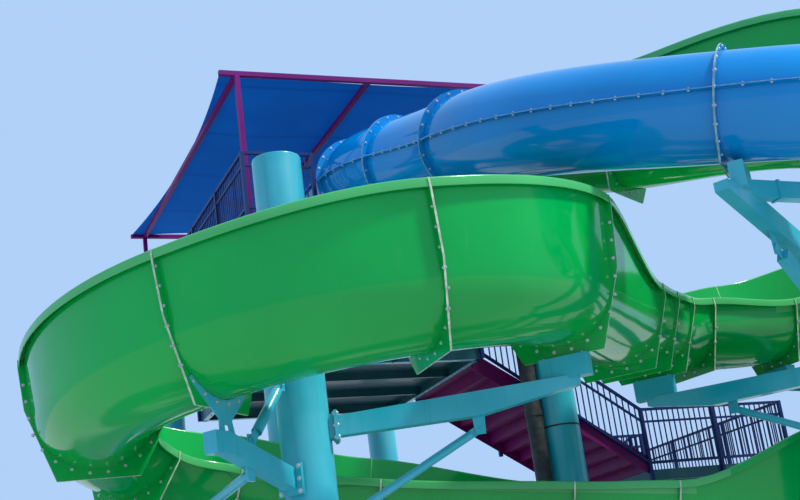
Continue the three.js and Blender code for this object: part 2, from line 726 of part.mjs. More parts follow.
// From the head of the tube's arm a level beam runs on to column 4; it is bolted to a stub at either end
const column4 = { x: 9950, y: -2450, height: 6600 };
const tubeBeam = { ...reachTo(column4, tubeFoot), top: 6540, splice: 480 };
const beamFrom = (from, to) => [[from, tubeBeam.top - BEAM_DEPTH], [to, tubeBeam.top - BEAM_DEPTH],
  [to, tubeBeam.top], [from, tubeBeam.top]];
const tubeStub = plateAlong(beamFrom(0, tubeBeam.splice), BEAM_WIDTH,
  tubeBeam.heading + Math.PI - tubeArm.heading);
addPiece('arm_tube', 'teal', join([armBody(tubeArm), tubeStub.translate(tubeArm.reach, 0, 0)]), {}, tubeGroup);
addPiece('beam_tube', 'teal',
  plateAlong(beamFrom(ARM_START, tubeBeam.reach - tubeBeam.splice - SEAT_GAP), BEAM_WIDTH),
  {}, supportGroup(column4, tubeBeam.heading));
addPiece('strut_tube', 'teal',
  strutBody([tubeArm.lug.at, tubeArm.lug.z], [COLUMN_RADIUS + 95, tubeLug], { square: true }), {}, tubeGroup);
const bendGroup = supportGroup(column3, bendArm.heading);
addPiece('arm_mid', 'teal', armBody(bendArm), {}, bendGroup);
addPiece('strut_mid', 'teal',
  strutBody([bendArm.lug.at, bendArm.lug.z], [COLUMN_RADIUS + 95, bendLug]), {}, bendGroup);

// Columns round and inside the hairpin, each with its arms welded on
const armedColumns = {
  column_4: {
    column: column4,
    stubs: [{ heading: tubeBeam.heading, top: tubeBeam.top }],
    arms: [[flumeJoint(HAIRPIN[1]), FOOT_DROP], [tubeJoint(TUBE_FEET[1]), TUBE_FOOT_DROP]],
  },
  column_5: { column: { x: 13150, y: 600 }, arms: [[flumeJoint(HAIRPIN[2]), FOOT_DROP]] },
  column_6: { column: { x: 9300, y: -110 }, arms: [[flumeJoint(HAIRPIN[4]), FOOT_DROP]] },
};
for (const [name, { column, arms, stubs }] of Object.entries(armedColumns)) {
  const bodies = [];
  for (const [joint, drop] of arms) {
    const arm = reachTo(column, joint);
    const headTop = footLevel(joint, drop);
    const rise = drop === FOOT_DROP ? 200 : 120;
    const body = armBody({ ...arm, start: 200, headTop, rise, taper: 500 });
    bodies.push(body.rotate([0, 0, THREE.MathUtils.radToDeg(arm.heading)]));
    column.height = Math.max(column.height ?? 0, headTop - rise + 60);
  }
  addPiece(name, 'teal', join([columnBody(column.height, { stubs }), ...bodies]), column);
}

// Posts straight under the joints of the back and the lower run
const posts = {
  turn_post: BACK_MID,
  back_post: BACK_END,
  lower_post_1: LOWER[2],
  lower_post_2: LOWER[4],
  lower_post_3: LOWER[6],
  run_out_post_1: RUN_OUT[1],
  run_out_post_2: RUN_OUT[2],
};
for (const [name, number] of Object.entries(posts)) {
  const joint = flumeJoint(number);
  const top = footLevel(joint);
  const inset = number === RUN_OUT[2] ? 80 : 0;
  const bodies = [
    uprightCylinder(POST_RADIUS, 0, top - 50, 12),
    box(-POST_PLATE / 2, POST_PLATE / 2, -POST_PLATE / 2, POST_PLATE / 2, 0, 20),
    box(-ARM_WIDTH / 2, ARM_WIDTH / 2, -HEAD_HALF, HEAD_HALF, top - 70, top),
  ];
  if (number === BACK_MID) {
    const [low, high] = [RAKE_FOOT - 80, RAKE_FOOT + 80];
    const bracket = [[60, low], [BRACKET, low], [BRACKET, high], [60, high]];
    bodies.push(plateAlong(bracket, 140, rakeHeading - joint.heading));
  }
  addPiece(name, 'teal', join(bodies), {
    x: joint.x - inset * Math.cos(joint.heading),
    y: joint.y - inset * Math.sin(joint.heading),
    heading: joint.heading,
  });
}

// Tower
const deckFrameLow = UPPER_LEVEL - DECK_DEPTH;
const columnNames = ['tower_column_front_left', 'tower_column_front_right', 'tower_column_back_left',
  'tower_column_back_right'];
columnNames.forEach((name, i) => {
  addPiece(name, 'teal', columnBody(deckFrameLow), { x: TOWER_X[i % 2], y: TOWER_Y[Math.floor(i / 2)] });
});

// A floor plate on an edge frame, with joists across it
function deckBody([x0, x1], [y0, y1], level, depth, joistDepth) {
  const edge = EDGE_BEAM;
  const bodies = [
    box(x0, x1, y0, y1, level - depth, level)
      .subtract(box(x0 + edge, x1 - edge, y0 + edge, y1 - edge, level - depth - 1, level - DECK_PLATE)),
  ];
  const count = Math.round((y1 - y0) / 1300);
  for (let i = 1; i < count; i += 1) {
    const y = y0 + (y1 - y0) * i / count;
    const under = level - DECK_PLATE;
    bodies.push(box(x0 + edge - 1, x1 - edge + 1, y - 30, y + 30, under - joistDepth, under + 1));
  }
  return join(bodies);
}

function tubBody(half, length, height, radius, centre) {
  const rim = 40;
  const shell = box(-half - SHELL, half + SHELL, 0, length, 0, height)
    .add(box(-half - SHELL - rim, half + SHELL + rim, 0, length + rim, height - SHELL, height))
    .subtract(box(-half, half, SHELL, length - SHELL, SHELL, height + 1))
    .subtract(box(-half, half, length - SHELL - 1, length + rim + 1, height / 2, height + 1));
  const mouth = new THREE.CylinderGeometry(radius, radius, SHELL + 2, 20);
  mouth.translate(0, SHELL / 2, centre);
  const upper = box(-radius, radius, -1, SHELL + 1, centre, height + 1);
  return shell.subtract(solid(mouth)).subtract(upper);
}

// The upper deck has a framed well above its flight
const wellHole = (grown, from, to) => box(WELL_X[0] - grown, WELL_X[1] + grown, WELL_Y0 - grown,
  UPPER_FLIGHT_TOP + grown, from, to);
addPiece('upper_deck', 'dark', deckBody(DECK_X, DECK_Y, UPPER_LEVEL, DECK_DEPTH, 160)
  .add(wellHole(EDGE_BEAM, deckFrameLow + 20, UPPER_LEVEL - DECK_PLATE + 1))
  .subtract(wellHole(0, deckFrameLow - 1, UPPER_LEVEL + 1)));

// The lower deck hangs from the upper one and is cut out around a column
function squarePost(x, y, size, from, to) {
  return box(x - size / 2, x + size / 2, y - size / 2, y + size / 2, from, to);
}
const pastColumn = COLUMN_RADIUS + SEAT_GAP;
const notch = box(0, TOWER_X[0] + pastColumn, 0, TOWER_Y[0] + pastColumn, 0, UPPER_LEVEL);
const hangers = [[LOWER_X[1] - 70, LOWER_Y[0] + 70], [LOWER_X[1] - 70, LOWER_Y[1] - 70],
  [LOWER_X[0] + 70, LOWER_Y[1] - 70], [LOWER_X[0] + 70, LOWER_Y[0] + 600]];
addPiece('lower_deck', 'dark', join([
  deckBody(LOWER_X, LOWER_Y, LOWER_LEVEL, LOWER_DEPTH, 120).subtract(notch),
  ...hangers.map(([x, y]) => squarePost(x, y, HANGER, LOWER_LEVEL - LOWER_DEPTH, deckFrameLow)),
]));

const tubY = DECK_Y[0];
addPiece('flume_tub', 'green', tubBody(760, 1100, 560, FLUME_RADIUS, FLUME_RADIUS - 12),
  { x: flumeLine[0].x, y: tubY, z: UPPER_LEVEL });
addPiece('tube_tub', 'blue', tubBody(690, 1100, 700, TUBE_RADIUS, tubeLine[0].z - UPPER_LEVEL),
  { x: tubeLine[0].x, y: tubY, z: UPPER_LEVEL });

// A flight drawn from its top edge down along +X, its width along +Y, with folded plate steps
// between two stringers. It lands on a floor or against the edge of one.
function flightBody(width, landsOn, start = SEAT_GAP) {
  const top = [[start, -RISE]];
  const under = [[start, -RISE - STEP_PLATE]];
  for (let k = 1; k < RISERS; k += 1) {
    const x = k * GOING - (k === RISERS - 1 ? SEAT_GAP : 0);
    top.push([x, -k * RISE], [x, -(k + 1) * RISE]);
    const back = x - STEP_PLATE;
    under.push([back, -k * RISE - STEP_PLATE]);
    under.push([back, k === RISERS - 1 ? -STOREY : -(k + 1) * RISE - STEP_PLATE]);
  }
  const steps = plateAlong([...under, ...top.toReversed()], width - 2 * STRINGER + 2, 0, width / 2);
  const end = FLIGHT_RUN - SEAT_GAP;
  const line = (x) => -x * RISE / GOING;
  const foot = landsOn
    ? [[GOING * (RISERS - STRINGER_DOWN / RISE), -STOREY], [end, -STOREY]]
    : [[end, line(end) - STRINGER_DOWN]];
  const stringer = [[start, line(start) - STRINGER_DOWN], ...foot, [end, line(end) + STRINGER_UP],
    [start, line(start) + STRINGER_UP]];
  return join([
    steps,
    plateAlong(stringer, STRINGER, 0, STRINGER / 2),
    plateAlong(stringer, STRINGER, 0, width - STRINGER / 2),
  ]);
}

const legs = (places, top) => places.map(([x, y]) => squarePost(x, y, LEG, 0, top));
addPiece('flight_upper', 'magenta', flightBody(UPPER_FLIGHT_X[1] - UPPER_FLIGHT_X[0], true),
  { x: UPPER_FLIGHT_X[0], y: UPPER_FLIGHT_TOP, z: UPPER_LEVEL, heading: degrees(-90) });
addPiece('flight_middle', 'magenta', flightBody(FLIGHT_WIDTH, false),
  { x: LOWER_X[1], y: FLIGHT_A_Y, z: LOWER_LEVEL });
const landingX0 = LOWER_X[1] + FLIGHT_RUN;
const landingY1 = FLIGHT_B_Y + FLIGHT_WIDTH;
addPiece('landing', 'dark', join([
  deckBody([landingX0, LANDING_X1], [FLIGHT_A_Y, LANDING_SPLIT], LANDING_LEVEL, LOWER_DEPTH, 120),
  deckBody([FLIGHT_B_X, LANDING_X1], [LANDING_SPLIT - EDGE_BEAM, landingY1], LANDING_LEVEL, LOWER_DEPTH, 120),
  ...legs([[landingX0 + 110, FLIGHT_A_Y + 110], [LANDING_X1 - 110, FLIGHT_A_Y + 110],
    [landingX0 + 110, LANDING_SPLIT - 110], [LANDING_X1 - 110, landingY1 - 110],
    [FLIGHT_B_X + 110, landingY1 - 110]], LANDING_LEVEL - DECK_PLATE + 1),
]));
addPiece('flight_lower', 'magenta', flightBody(FLIGHT_WIDTH, false),
  { x: FLIGHT_B_X, y: landingY1, z: LANDING_LEVEL, heading: Math.PI });
const halfX1 = FLIGHT_B_X - FLIGHT_RUN;
const halfX0 = halfX1 - HALF_LANDING;
const lastFlight = flightBody(FLIGHT_WIDTH, true, -EDGE_BEAM / 2).rotate([0, 0, 180])
  .translate([halfX0, landingY1, HALF_LEVEL]);
addPiece('flight_ground', 'magenta', join([
  deckBody([halfX0, halfX1], [FLIGHT_B_Y, landingY1], HALF_LEVEL, LOWER_DEPTH, 120),
  lastFlight,
  ...legs([[halfX0 + 110, FLIGHT_B_Y + 110], [halfX1 - 110, FLIGHT_B_Y + 110],
    [halfX0 + 110, landingY1 - 110], [halfX1 - 110, landingY1 - 110]], HALF_LEVEL - DECK_PLATE + 1),
]));

// Railings. A line point is [x, y, walking level, how far its post reaches below that level].
function railingBody(line) {
  const bodies = [];
  const post = (x, y, z, foot) => {
    bodies.push(squarePost(x, y, POST, z - foot, z + RAIL_HEIGHT));
  };
  line.forEach(([x, y, z, foot], i) => {
    post(x, y, z, foot);
    if (i === line.length - 1) return;
    const [nextX, nextY, nextZ, nextFoot] = line[i + 1];
    const spans = Math.ceil(Math.hypot(nextX - x, nextY - y) / POST_SPACING);
    const middleFoot = z === nextZ ? Math.min(foot, nextFoot) : 260;
    for (let k = 1; k < spans; k += 1) {
      const share = k / spans;
      post(x + (nextX - x) * share, y + (nextY - y) * share, z + (nextZ - z) * share, middleFoot);
    }
    for (const height of [RAIL_HEIGHT - RAIL / 2 - 2, RAIL_FOOT]) {
      bodies.push(bar([x, y, z + height], [nextX, nextY, nextZ + height], RAIL, RAIL));
    }
  });
  return join(bodies);
}

const outside = 180;
const tubeClear = TUBE_RADIUS + SHELL + RING_OUT + 60;
const frontY = DECK_Y[0] - RAIL_LINE;
addPiece('railing_upper', 'navy', railingBody([
  [tubeLine[0].x - tubeClear, frontY, UPPER_LEVEL, outside],
  [DECK_X[0] - RAIL_LINE, frontY, UPPER_LEVEL, outside],
  [DECK_X[0] - RAIL_LINE, DECK_Y[1] + RAIL_LINE, UPPER_LEVEL, outside],
  [DECK_X[1] + RAIL_LINE, DECK_Y[1] + RAIL_LINE, UPPER_LEVEL, outside],
  [DECK_X[1] + RAIL_LINE, frontY, UPPER_LEVEL, outside],
]));
addPiece('railing_front', 'navy', railingBody([
  [tubeLine[0].x + tubeClear, frontY, UPPER_LEVEL, outside],
  [flumeLine[0].x - 920, frontY, UPPER_LEVEL, outside],
]));
const [flightLeft, flightRight] = [UPPER_FLIGHT_X[0] - RAIL_LINE, UPPER_FLIGHT_X[1] + RAIL_LINE];
const wellLeft = WELL_X[0] - 50;
const wellRight = WELL_X[1] + 50;
const flightFootY = UPPER_FLIGHT_TOP - FLIGHT_RUN;
addPiece('railing_well', 'navy', railingBody([
  [flightLeft, flightFootY + 100, LOWER_LEVEL, 0],
  [flightLeft, UPPER_FLIGHT_TOP - 80, UPPER_LEVEL, 200],
  [wellLeft, UPPER_FLIGHT_TOP - 80, UPPER_LEVEL, 0],
  [wellLeft, WELL_Y0 - 50, UPPER_LEVEL, 0],
  [wellRight, WELL_Y0 - 50, UPPER_LEVEL, 0],
  [wellRight, UPPER_FLIGHT_TOP - 80, UPPER_LEVEL, 0],
  [flightRight, UPPER_FLIGHT_TOP - 80, UPPER_LEVEL, 200],
  [flightRight, flightFootY + 100, LOWER_LEVEL, 0],
]));
const nearA = FLIGHT_A_Y - RAIL_LINE;
const farA = FLIGHT_A_Y + FLIGHT_WIDTH + RAIL_LINE;
const nearB = FLIGHT_B_Y - RAIL_LINE;
const farB = landingY1 + RAIL_LINE;
const groundX = halfX0 - FLIGHT_RUN;
const deckRight = LOWER_X[1] + RAIL_LINE;
addPiece('railing_outer', 'navy', railingBody([
  [TOWER_X[0] + COLUMN_RADIUS + 60, LOWER_Y[0] - RAIL_LINE, LOWER_LEVEL, outside],
  [deckRight, LOWER_Y[0] - RAIL_LINE, LOWER_LEVEL, outside],
  [deckRight, nearA, LOWER_LEVEL, outside],
  [landingX0, nearA, LANDING_LEVEL, outside],
  [LANDING_X1 + RAIL_LINE, nearA, LANDING_LEVEL, outside],
  [LANDING_X1 + RAIL_LINE, farB, LANDING_LEVEL, outside],
  [FLIGHT_B_X, farB, LANDING_LEVEL, outside],
  [halfX1, farB, HALF_LEVEL, outside],
  [halfX0, farB, HALF_LEVEL, outside],
  [groundX + 40, farB, 0, 0],
]));
addPiece('railing_inner', 'navy', railingBody([
  [flightRight + 60, LOWER_Y[1] + RAIL_LINE, LOWER_LEVEL, outside],
  [deckRight, LOWER_Y[1] + RAIL_LINE, LOWER_LEVEL, outside],
  [deckRight, farA, LOWER_LEVEL, outside],
  [landingX0 + 60, farA, LANDING_LEVEL, 0],
  [FLIGHT_B_X + 60, farA, LANDING_LEVEL, 0],
  [FLIGHT_B_X - 60, nearB, LANDING_LEVEL, outside],
  [halfX1, nearB, HALF_LEVEL, outside],
  [halfX0, nearB, HALF_LEVEL, outside],
  [groundX + 40, nearB, 0, 0],
]));
addPiece('railing_deck', 'navy', railingBody([
  [LOWER_X[0] - RAIL_LINE, TOWER_Y[0] + COLUMN_RADIUS + 60, LOWER_LEVEL, outside],
  [LOWER_X[0] - RAIL_LINE, LOWER_Y[1] + RAIL_LINE, LOWER_LEVEL, outside],
  [flightLeft - 70, LOWER_Y[1] + RAIL_LINE, LOWER_LEVEL, outside],
]));

// Canopy: a frame of four posts, two beams across and three rafters, and a stretched sheet on it
const beamLow = CANOPY_LEVEL - CANOPY_BEAM;
const half = CANOPY_BEAM / 2;
const canopyParts = [];
const beamEnds = [CANOPY_X[0] - BEAM_OVERHANG, CANOPY_X[1] + BEAM_OVERHANG];
for (const y of CANOPY_Y) {
  canopyParts.push(box(...beamEnds, y - half, y + half, beamLow, CANOPY_LEVEL));
  for (const x of CANOPY_X) canopyParts.push(squarePost(x, y, CANOPY_BEAM, UPPER_LEVEL, beamLow + 1));
}
for (const x of [CANOPY_X[0], 3300, CANOPY_X[1]]) {
  canopyParts.push(box(x - half, x + half, CANOPY_Y[0], CANOPY_Y[1], beamLow, CANOPY_LEVEL));
}
addPiece('canopy_frame', 'magenta', join(canopyParts));

function saggingEdge([x0, y0], [x1, y1]) {
  const length = Math.hypot(x1 - x0, y1 - y0);
  const inward = [-(y1 - y0) / length, (x1 - x0) / length];
  return Array.from({ length: 8 }, (_, k) => {
    const share = k / 8;
    const sag = EDGE_SAG * 4 * share * (1 - share);
    return [x0 + (x1 - x0) * share + inward[0] * sag, y0 + (y1 - y0) * share + inward[1] * sag];
  });
}
const [west, east] = [beamEnds[0] + 20, beamEnds[1] - 20];
const [south, north] = [CANOPY_Y[0] - 40, CANOPY_Y[1] + 40];
const corners = [[west, south], [east, south], [east, north], [west, north]];
const fabricOutline = corners.flatMap((corner, i) => saggingEdge(corner, corners[(i + 1) % 4]));
const fabric = new THREE.ExtrudeGeometry(shapeOf(fabricOutline), { depth: FABRIC, bevelEnabled: false });
addPiece('canopy_fabric', 'fabric', solid(fabric), { z: CANOPY_LEVEL + SEAT_GAP });

// Supply pipe beside the front right column
const pipe = uprightCylinder(PIPE_RADIUS, BASE_THICK + SEAT_GAP, deckFrameLow - 50, 16)
  .subtract(uprightCylinder(PIPE_RADIUS - 8, 0, deckFrameLow, 16));
addPiece('supply_pipe', 'pipe', pipe, { x: TOWER_X[1] - COLUMN_RADIUS - PIPE_RADIUS - 20, y: TOWER_Y[0] });

slide.updateMatrixWorld(true);
export default slide;
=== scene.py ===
"""Water slide tower: glossy flume and tube, painted steelwork, stair tower and shade canopy, in metres."""

import math

import bmesh
import bpy
from mathutils import Matrix, Vector


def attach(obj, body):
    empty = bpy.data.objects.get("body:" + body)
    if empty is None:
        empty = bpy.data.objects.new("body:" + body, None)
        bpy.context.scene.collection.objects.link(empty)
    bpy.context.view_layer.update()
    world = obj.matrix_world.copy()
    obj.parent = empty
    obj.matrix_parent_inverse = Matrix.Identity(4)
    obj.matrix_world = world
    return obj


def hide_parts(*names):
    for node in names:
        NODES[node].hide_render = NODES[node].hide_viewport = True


bl_info = {
    "name": "Water Slide Tower",
    "version": (1, 0, 0),
    "blender": (4, 5, 0),
    "location": "View3D > Sidebar > Slide",
    "description": "Dresses the solids of a water slide tower with finishes, bolts, railings and fabric",
    "category": "Object",
}

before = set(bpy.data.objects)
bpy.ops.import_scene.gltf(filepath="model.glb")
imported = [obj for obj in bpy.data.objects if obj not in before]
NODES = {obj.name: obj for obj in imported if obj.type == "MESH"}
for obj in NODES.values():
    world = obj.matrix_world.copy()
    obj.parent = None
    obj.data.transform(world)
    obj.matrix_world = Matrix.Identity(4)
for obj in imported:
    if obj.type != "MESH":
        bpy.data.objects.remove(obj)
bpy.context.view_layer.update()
UP = Vector((0, 0, 1))

# Open flume, as its solids are made
FLUME_RADIUS = 0.740
WALL_LEAN = math.radians(6)
SHELL = 0.012
LIP_OUT = 0.060
LIP_DOWN = 0.110
FLANGE_OUT = 0.088
FLANGE_THICK = 0.012
END_GAP = 0.0002
FOOT_HALF = 0.505
FOOT_DROP = 0.130
KNEE_UP = 0.800
TURN_STEP = 14
BOLT_LINE = 0.060
# Radii of the rim's corners by number, and how many of its points lead up to its outer edge
RIM_ROUNDING = {1: 0.022, 2: 0.020, 3: 0.004}
RIM_TOP_POINTS = 9
FLUME_START = (5.2, 3.9797, 8.6, -90)
START_WALLS = (1.0, 1.0)
# Each run: length, turn in degrees, drop, height of the left and right walls at its end
FLUME_RUNS = (
    (1.300, 6, 0.200, 0.90, 1.00),
    (1.700, 24, 0.420, 0.80, 1.60),
    (3.023, 28, 0.480, 0.75, 2.00),
    (0.700, 8, 0.300, 0.75, 2.00),
    (1.997, 52, 0.400, 0.75, 1.90),
    (1.997, 52, 0.400, 0.75, 1.90),
    (1.997, 52, 0.400, 0.75, 1.80),
    (1.997, 52, 0.350, 0.85, 1.60),
    (1.951, 8, 0.150, 0.95, 1.40),
    (1.200, 30, 0.100, 0.95, 1.30),
    (0.950, 0, 0.100, 0.95, 1.20),
    (0.849, 0, 0.105, 1.00, 1.10),
    (2.600, 3, 0.150, 1.70, 0.65),
    (2.337, -46.6, 0.222, 1.67, 0.48),
    (2.389, -46.4, 0.199, 1.54, 0.46),
    (2.835, -46.3, 0.211, 1.48, 0.46),
    (1.303, -44, 0.213, 1.48, 0.50),
    (1.516, -50.7, 0.440, 1.45, 0.70),
    (1.950, -6, 0.410, 1.30, 0.75),
    (2.700, -4, 0.400, 1.00, 0.80),
    (1.450, 0, 0.200, 0.80, 0.84),
    (2.400, 16, 0.300, 0.80, 1.75),
    (2.400, 25, 0.350, 0.80, 1.75),
    (2.400, 23, 0.500, 0.80, 1.30),
    (2.600, 0, 0.600, 0.60, 0.60),
    (2.600, 0, 0.350, 0.60, 0.60),
)
FLUME_PIECES = {
    "flume_start": (0, 2),
    "flume_upper": (2, 4),
    "flume_hairpin_1": (4, 6),
    "flume_hairpin_2": (6, 8),
    "flume_bend": (8, 12),
    "flume_lead_in": (12, 13),
    "flume_turn_1": (13, 14),
    "flume_turn_2": (14, 15),
    "flume_turn_3": (15, 16),
    "flume_back": (16, 18),
    "flume_lower_1": (18, 21),
    "flume_lower_2": (21, 24),
    "flume_run_out": (24, 26),
}

# Closed tube
TUBE_RADIUS = 0.670
RING_OUT = 0.088
SEAM_OUT = 0.066
SEAM_THICK = 0.024
RING_BOLT_LINE = 0.050
SEAM_BOLT_LINE = 0.036
TUBE_FOOT_ARC = (213.75, 326.25)
TUBE_FOOT_HALF = 0.300
TUBE_FOOT_DROP = 0.800
TUBE_START = (2.745, 3.9797, 9.21, -90)
# Each run: length, turn in degrees, drop
TUBE_RUNS = (
    (1.245, 18, 0.190),
    (1.760, -17, 0.390),
    (4.140, 44, 1.130),
    (2.700, 36, 0.400),
    (2.700, 20, 0.350),
)
TUBE_PIECES = {"tube_start": (0, 2), "tube_drop": (2, 3), "tube_curve": (3, 5)}
TUBE_FEET = (3, 5)

# Columns: place and height; the base plate is the same under each. The scene's pipes stand just over the solids,
# and gussets reach towards the sides and the corners of the plate.
OVER_SOLID = 0.001
COLUMN_RADIUS = 0.305
BASE_THICK = 0.030
BASE_BOLTS = 0.340
GUSSETS = 8
GUSSET_TO_SIDE = 0.39
GUSSET_TO_CORNER = 0.52
COLUMNS = {
    "column_1": (0, 0, 7.82),
    "column_3": (7.875, -1.085, 7.311),
    "column_4": (9.95, -2.45, 6.600),
    "column_5": (13.15, 0.6, 6.129),
    "column_6": (9.3, -0.11, 5.379),
    "tower_column_front_left": (1.18, 4.3, 8.35),
    "tower_column_front_right": (5.85, 4.3, 8.35),
    "tower_column_back_left": (1.18, 12.2, 8.35),
    "tower_column_back_right": (5.85, 12.2, 8.35),
}

# Posts of the back and the lower run: joint above, and how far back from it they stand
POST_RADIUS = 0.110
POST_BASE_THICK = 0.020
POST_BOLTS = 0.165
POST_HEAD = 0.052
POSTS = {
    "turn_post": (17, 0),
    "back_post": (18, 0),
    "lower_post_1": (20, 0),
    "lower_post_2": (22, 0),
    "lower_post_3": (24, 0),
    "run_out_post_1": (25, 0),
    "run_out_post_2": (26, 0.080),
}

# Arms bolted to columns: column, joint of the flume or the tube, drop of its foot, rise of the head
# over the arm, droop of the arm towards its root
ARM_DEPTH = 0.240
END_PLATE_HALF = 0.170
END_PLATE_MARGIN = 0.055
END_PLATE_THICK = 0.020
BOLT_MARGIN = 0.035
FACE_GAP = 0.0003
STUB_REACH = 0.370
ARMS = {
    "arm_right": ("column_1", "flume", 13, 0.130, 0.240, 0.160),
    "arm_left": ("column_1", "flume", 15, 0.0, 0.370, 0.340),
    "arm_tube": ("column_3", "tube", 3, 0.800, 0.290, 0.830),
    "arm_mid": ("column_3", "flume", 10, 0.130, 0.280, 0.150),
    "beam_tube": ("column_4", "tube", 3, 0.0, 0.960, 0.0),
}
BEAM_SPLICE = 0.480
BEAM_DEPTH = 0.215
SPLICE_HALF = 0.088
SPLICE_MARGIN = 0.013
STRUT_ENDS = 0.370
SADDLE_JOINT = 15
SADDLE_THICK = 0.016

# Stair tower
RISERS = 12
GOING = 0.280
UPPER_LEVEL = 8.6
STOREY = UPPER_LEVEL / 4
LOWER_LEVEL, LANDING_LEVEL, HALF_LEVEL = (UPPER_LEVEL - storeys * STOREY for storeys in (1, 2, 3))
RISE = STOREY / RISERS
FLIGHT_RUN = GOING * (RISERS - 1)

# Plan of the decks, left, right, front and back, and of the stair well, left, right and front
UPPER_DECK = (0.8, 6.3, 3.98, 12.5)
LOWER_DECK = (0.85, 4.6, 4.35, 8.2)
UPPER_DECK_DEPTH = 0.250
LOWER_DECK_DEPTH = 0.185
WELL = (1.45, 3.15, 7.65)

# Plan of the flights: left and right of the upper one, front and back of the others; landings from left to right
UPPER_FLIGHT = (1.65, 2.95)
UPPER_FLIGHT_TOP = 10.88
NEAR_FLIGHT = (4.72, 7.22)
FAR_FLIGHT = (7.48, 9.98)
LANDING = (9.2, 10.6)
HALF_LANDING_RIGHT = LANDING[0] - FLIGHT_RUN
HALF_LANDING_LEFT = HALF_LANDING_RIGHT - 1.82
# Anti-slip strips: depth, thickness, and how far their middle lies behind the edge of the tread
STRIP = (0.05, 0.004, 0.035)

# Railings: the rails stand RAIL_LINE outside the edges of the decks
RAIL_LINE = 0.0303
RAIL_HEIGHT = 1.07
RAIL_FOOT = 0.12
RAIL_THICK = 0.030
SECOND_RAIL = 0.24
SECOND_RAIL_THICK = 0.034

# Canopy and its sheet
CANOPY_LEVEL = 11.3
CANOPY_X = (0.67, 6.38)
CANOPY_Y = (4.36, 12.34)
RAFTERS = (0.95, 3.3, 6.1)
RAFTER_HALF = 0.05
EDGE_BOW = 0.26
SHEET_THICK = 0.0025

# Supply pipe beside the front right column; its collars have a radius and a length
SUPPLY_PIPE = (5.39, 4.3)
SUPPLY_RADIUS = 0.135
SUPPLY_FOOT = 0.0303
SUPPLY_LENGTH = 8.2697
COLLAR = (0.150, 0.100)
COLLAR_LEVELS = (1.1, 3.2, 5.3, 7.4)
STRAP_THICK = 0.028
STRAP_LEVELS = (1.3, 3.2, 5.05, 6.9)

# Camera, fitted to the photograph: place, heading, lift and roll in degrees, lens
CAMERA_PLACE = (-4.81, -14.34, 1.6)
CAMERA_TURNS = (23.8, 17.8, 7.7)
CAMERA_LENS = 58.5


class SlideSizes(bpy.types.PropertyGroup):
    """Sizes of the added details"""

    bolt_spacing: bpy.props.FloatProperty(
        name="Bolt spacing", description="Distance between bolts along a flange", default=0.22,
        min=0.1, max=0.5, unit="LENGTH")
    bolt_radius: bpy.props.FloatProperty(
        name="Bolt head radius", description="Radius of the flange bolts' heads", default=0.012,
        min=0.005, max=0.03, unit="LENGTH")
    picket_spacing: bpy.props.FloatProperty(
        name="Picket spacing", description="Distance between the railings' upright bars", default=0.11,
        min=0.08, max=0.3, unit="LENGTH")
    picket_width: bpy.props.FloatProperty(
        name="Picket width", description="Width of the railings' upright bars", default=0.018,
        min=0.01, max=0.04, unit="LENGTH")
    fabric_sag: bpy.props.FloatProperty(
        name="Fabric sag", description="How far the shade cloth sags between its rafters", default=0.045,
        min=0.0, max=0.1, unit="LENGTH")


class SlideColours(bpy.types.PropertyGroup):
    """Colours of the finishes"""

    green: bpy.props.FloatVectorProperty(
        name="Flume green", description="Gel coat of the open flume", subtype="COLOR", size=3,
        default=(0.0, 0.36, 0.055), min=0, max=1)
    blue: bpy.props.FloatVectorProperty(
        name="Tube blue", description="Gel coat of the closed tube", subtype="COLOR", size=3,
        default=(0.0, 0.235, 0.59), min=0, max=1)
    teal: bpy.props.FloatVectorProperty(
        name="Column teal", description="Paint of the columns and arms", subtype="COLOR", size=3,
        default=(0.0, 0.41, 0.51), min=0, max=1)
    magenta: bpy.props.FloatVectorProperty(
        name="Stair magenta", description="Paint of the flights", subtype="COLOR",
        size=3, default=(0.18, 0.0, 0.105), min=0, max=1)
    violet: bpy.props.FloatVectorProperty(
        name="Canopy violet", description="Paint of the canopy frame", subtype="COLOR", size=3,
        default=(0.17, 0.0, 0.15), min=0, max=1)
    navy: bpy.props.FloatVectorProperty(
        name="Railing navy", description="Paint of the railings", subtype="COLOR", size=3,
        default=(0.0, 0.018, 0.13), min=0, max=1)
    # The decks' teal is the columns' teal darkened: painted shade of their undersides.
    deck: bpy.props.FloatVectorProperty(
        name="Deck teal", description="Paint of the decks and their beams", subtype="COLOR", size=3,
        default=(0.0, 0.085, 0.11), min=0, max=1)
    fabric: bpy.props.FloatVectorProperty(
        name="Fabric blue", description="Shade cloth of the canopy", subtype="COLOR", size=3,
        default=(0.0, 0.17, 0.42), min=0, max=1)


class Field:
    """A value that varies over a surface. Sums on it add the Math nodes that work them out."""

    def __init__(self, finish, socket):
        self.finish = finish
        self.socket = socket

    def _math(self, operation, a, b=0.0):
        return self.finish.node("ShaderNodeMath", {"operation": operation}, [a, b])

    def __add__(self, other):
        return self._math("ADD", self, other)

    __radd__ = __add__

    def __sub__(self, other):
        return self._math("SUBTRACT", self, other)

    def __rsub__(self, other):
        return self._math("SUBTRACT", other, self)

    def __mul__(self, other):
        return self._math("MULTIPLY", self, other)

    __rmul__ = __mul__

    def above(self, low, high):
        """0 below low, 1 above high and smooth between"""
        settings = {"interpolation_type": "SMOOTHSTEP"}
        return self.finish.node("ShaderNodeMapRange", settings, {"Value": self, "From Min": low, "From Max": high})


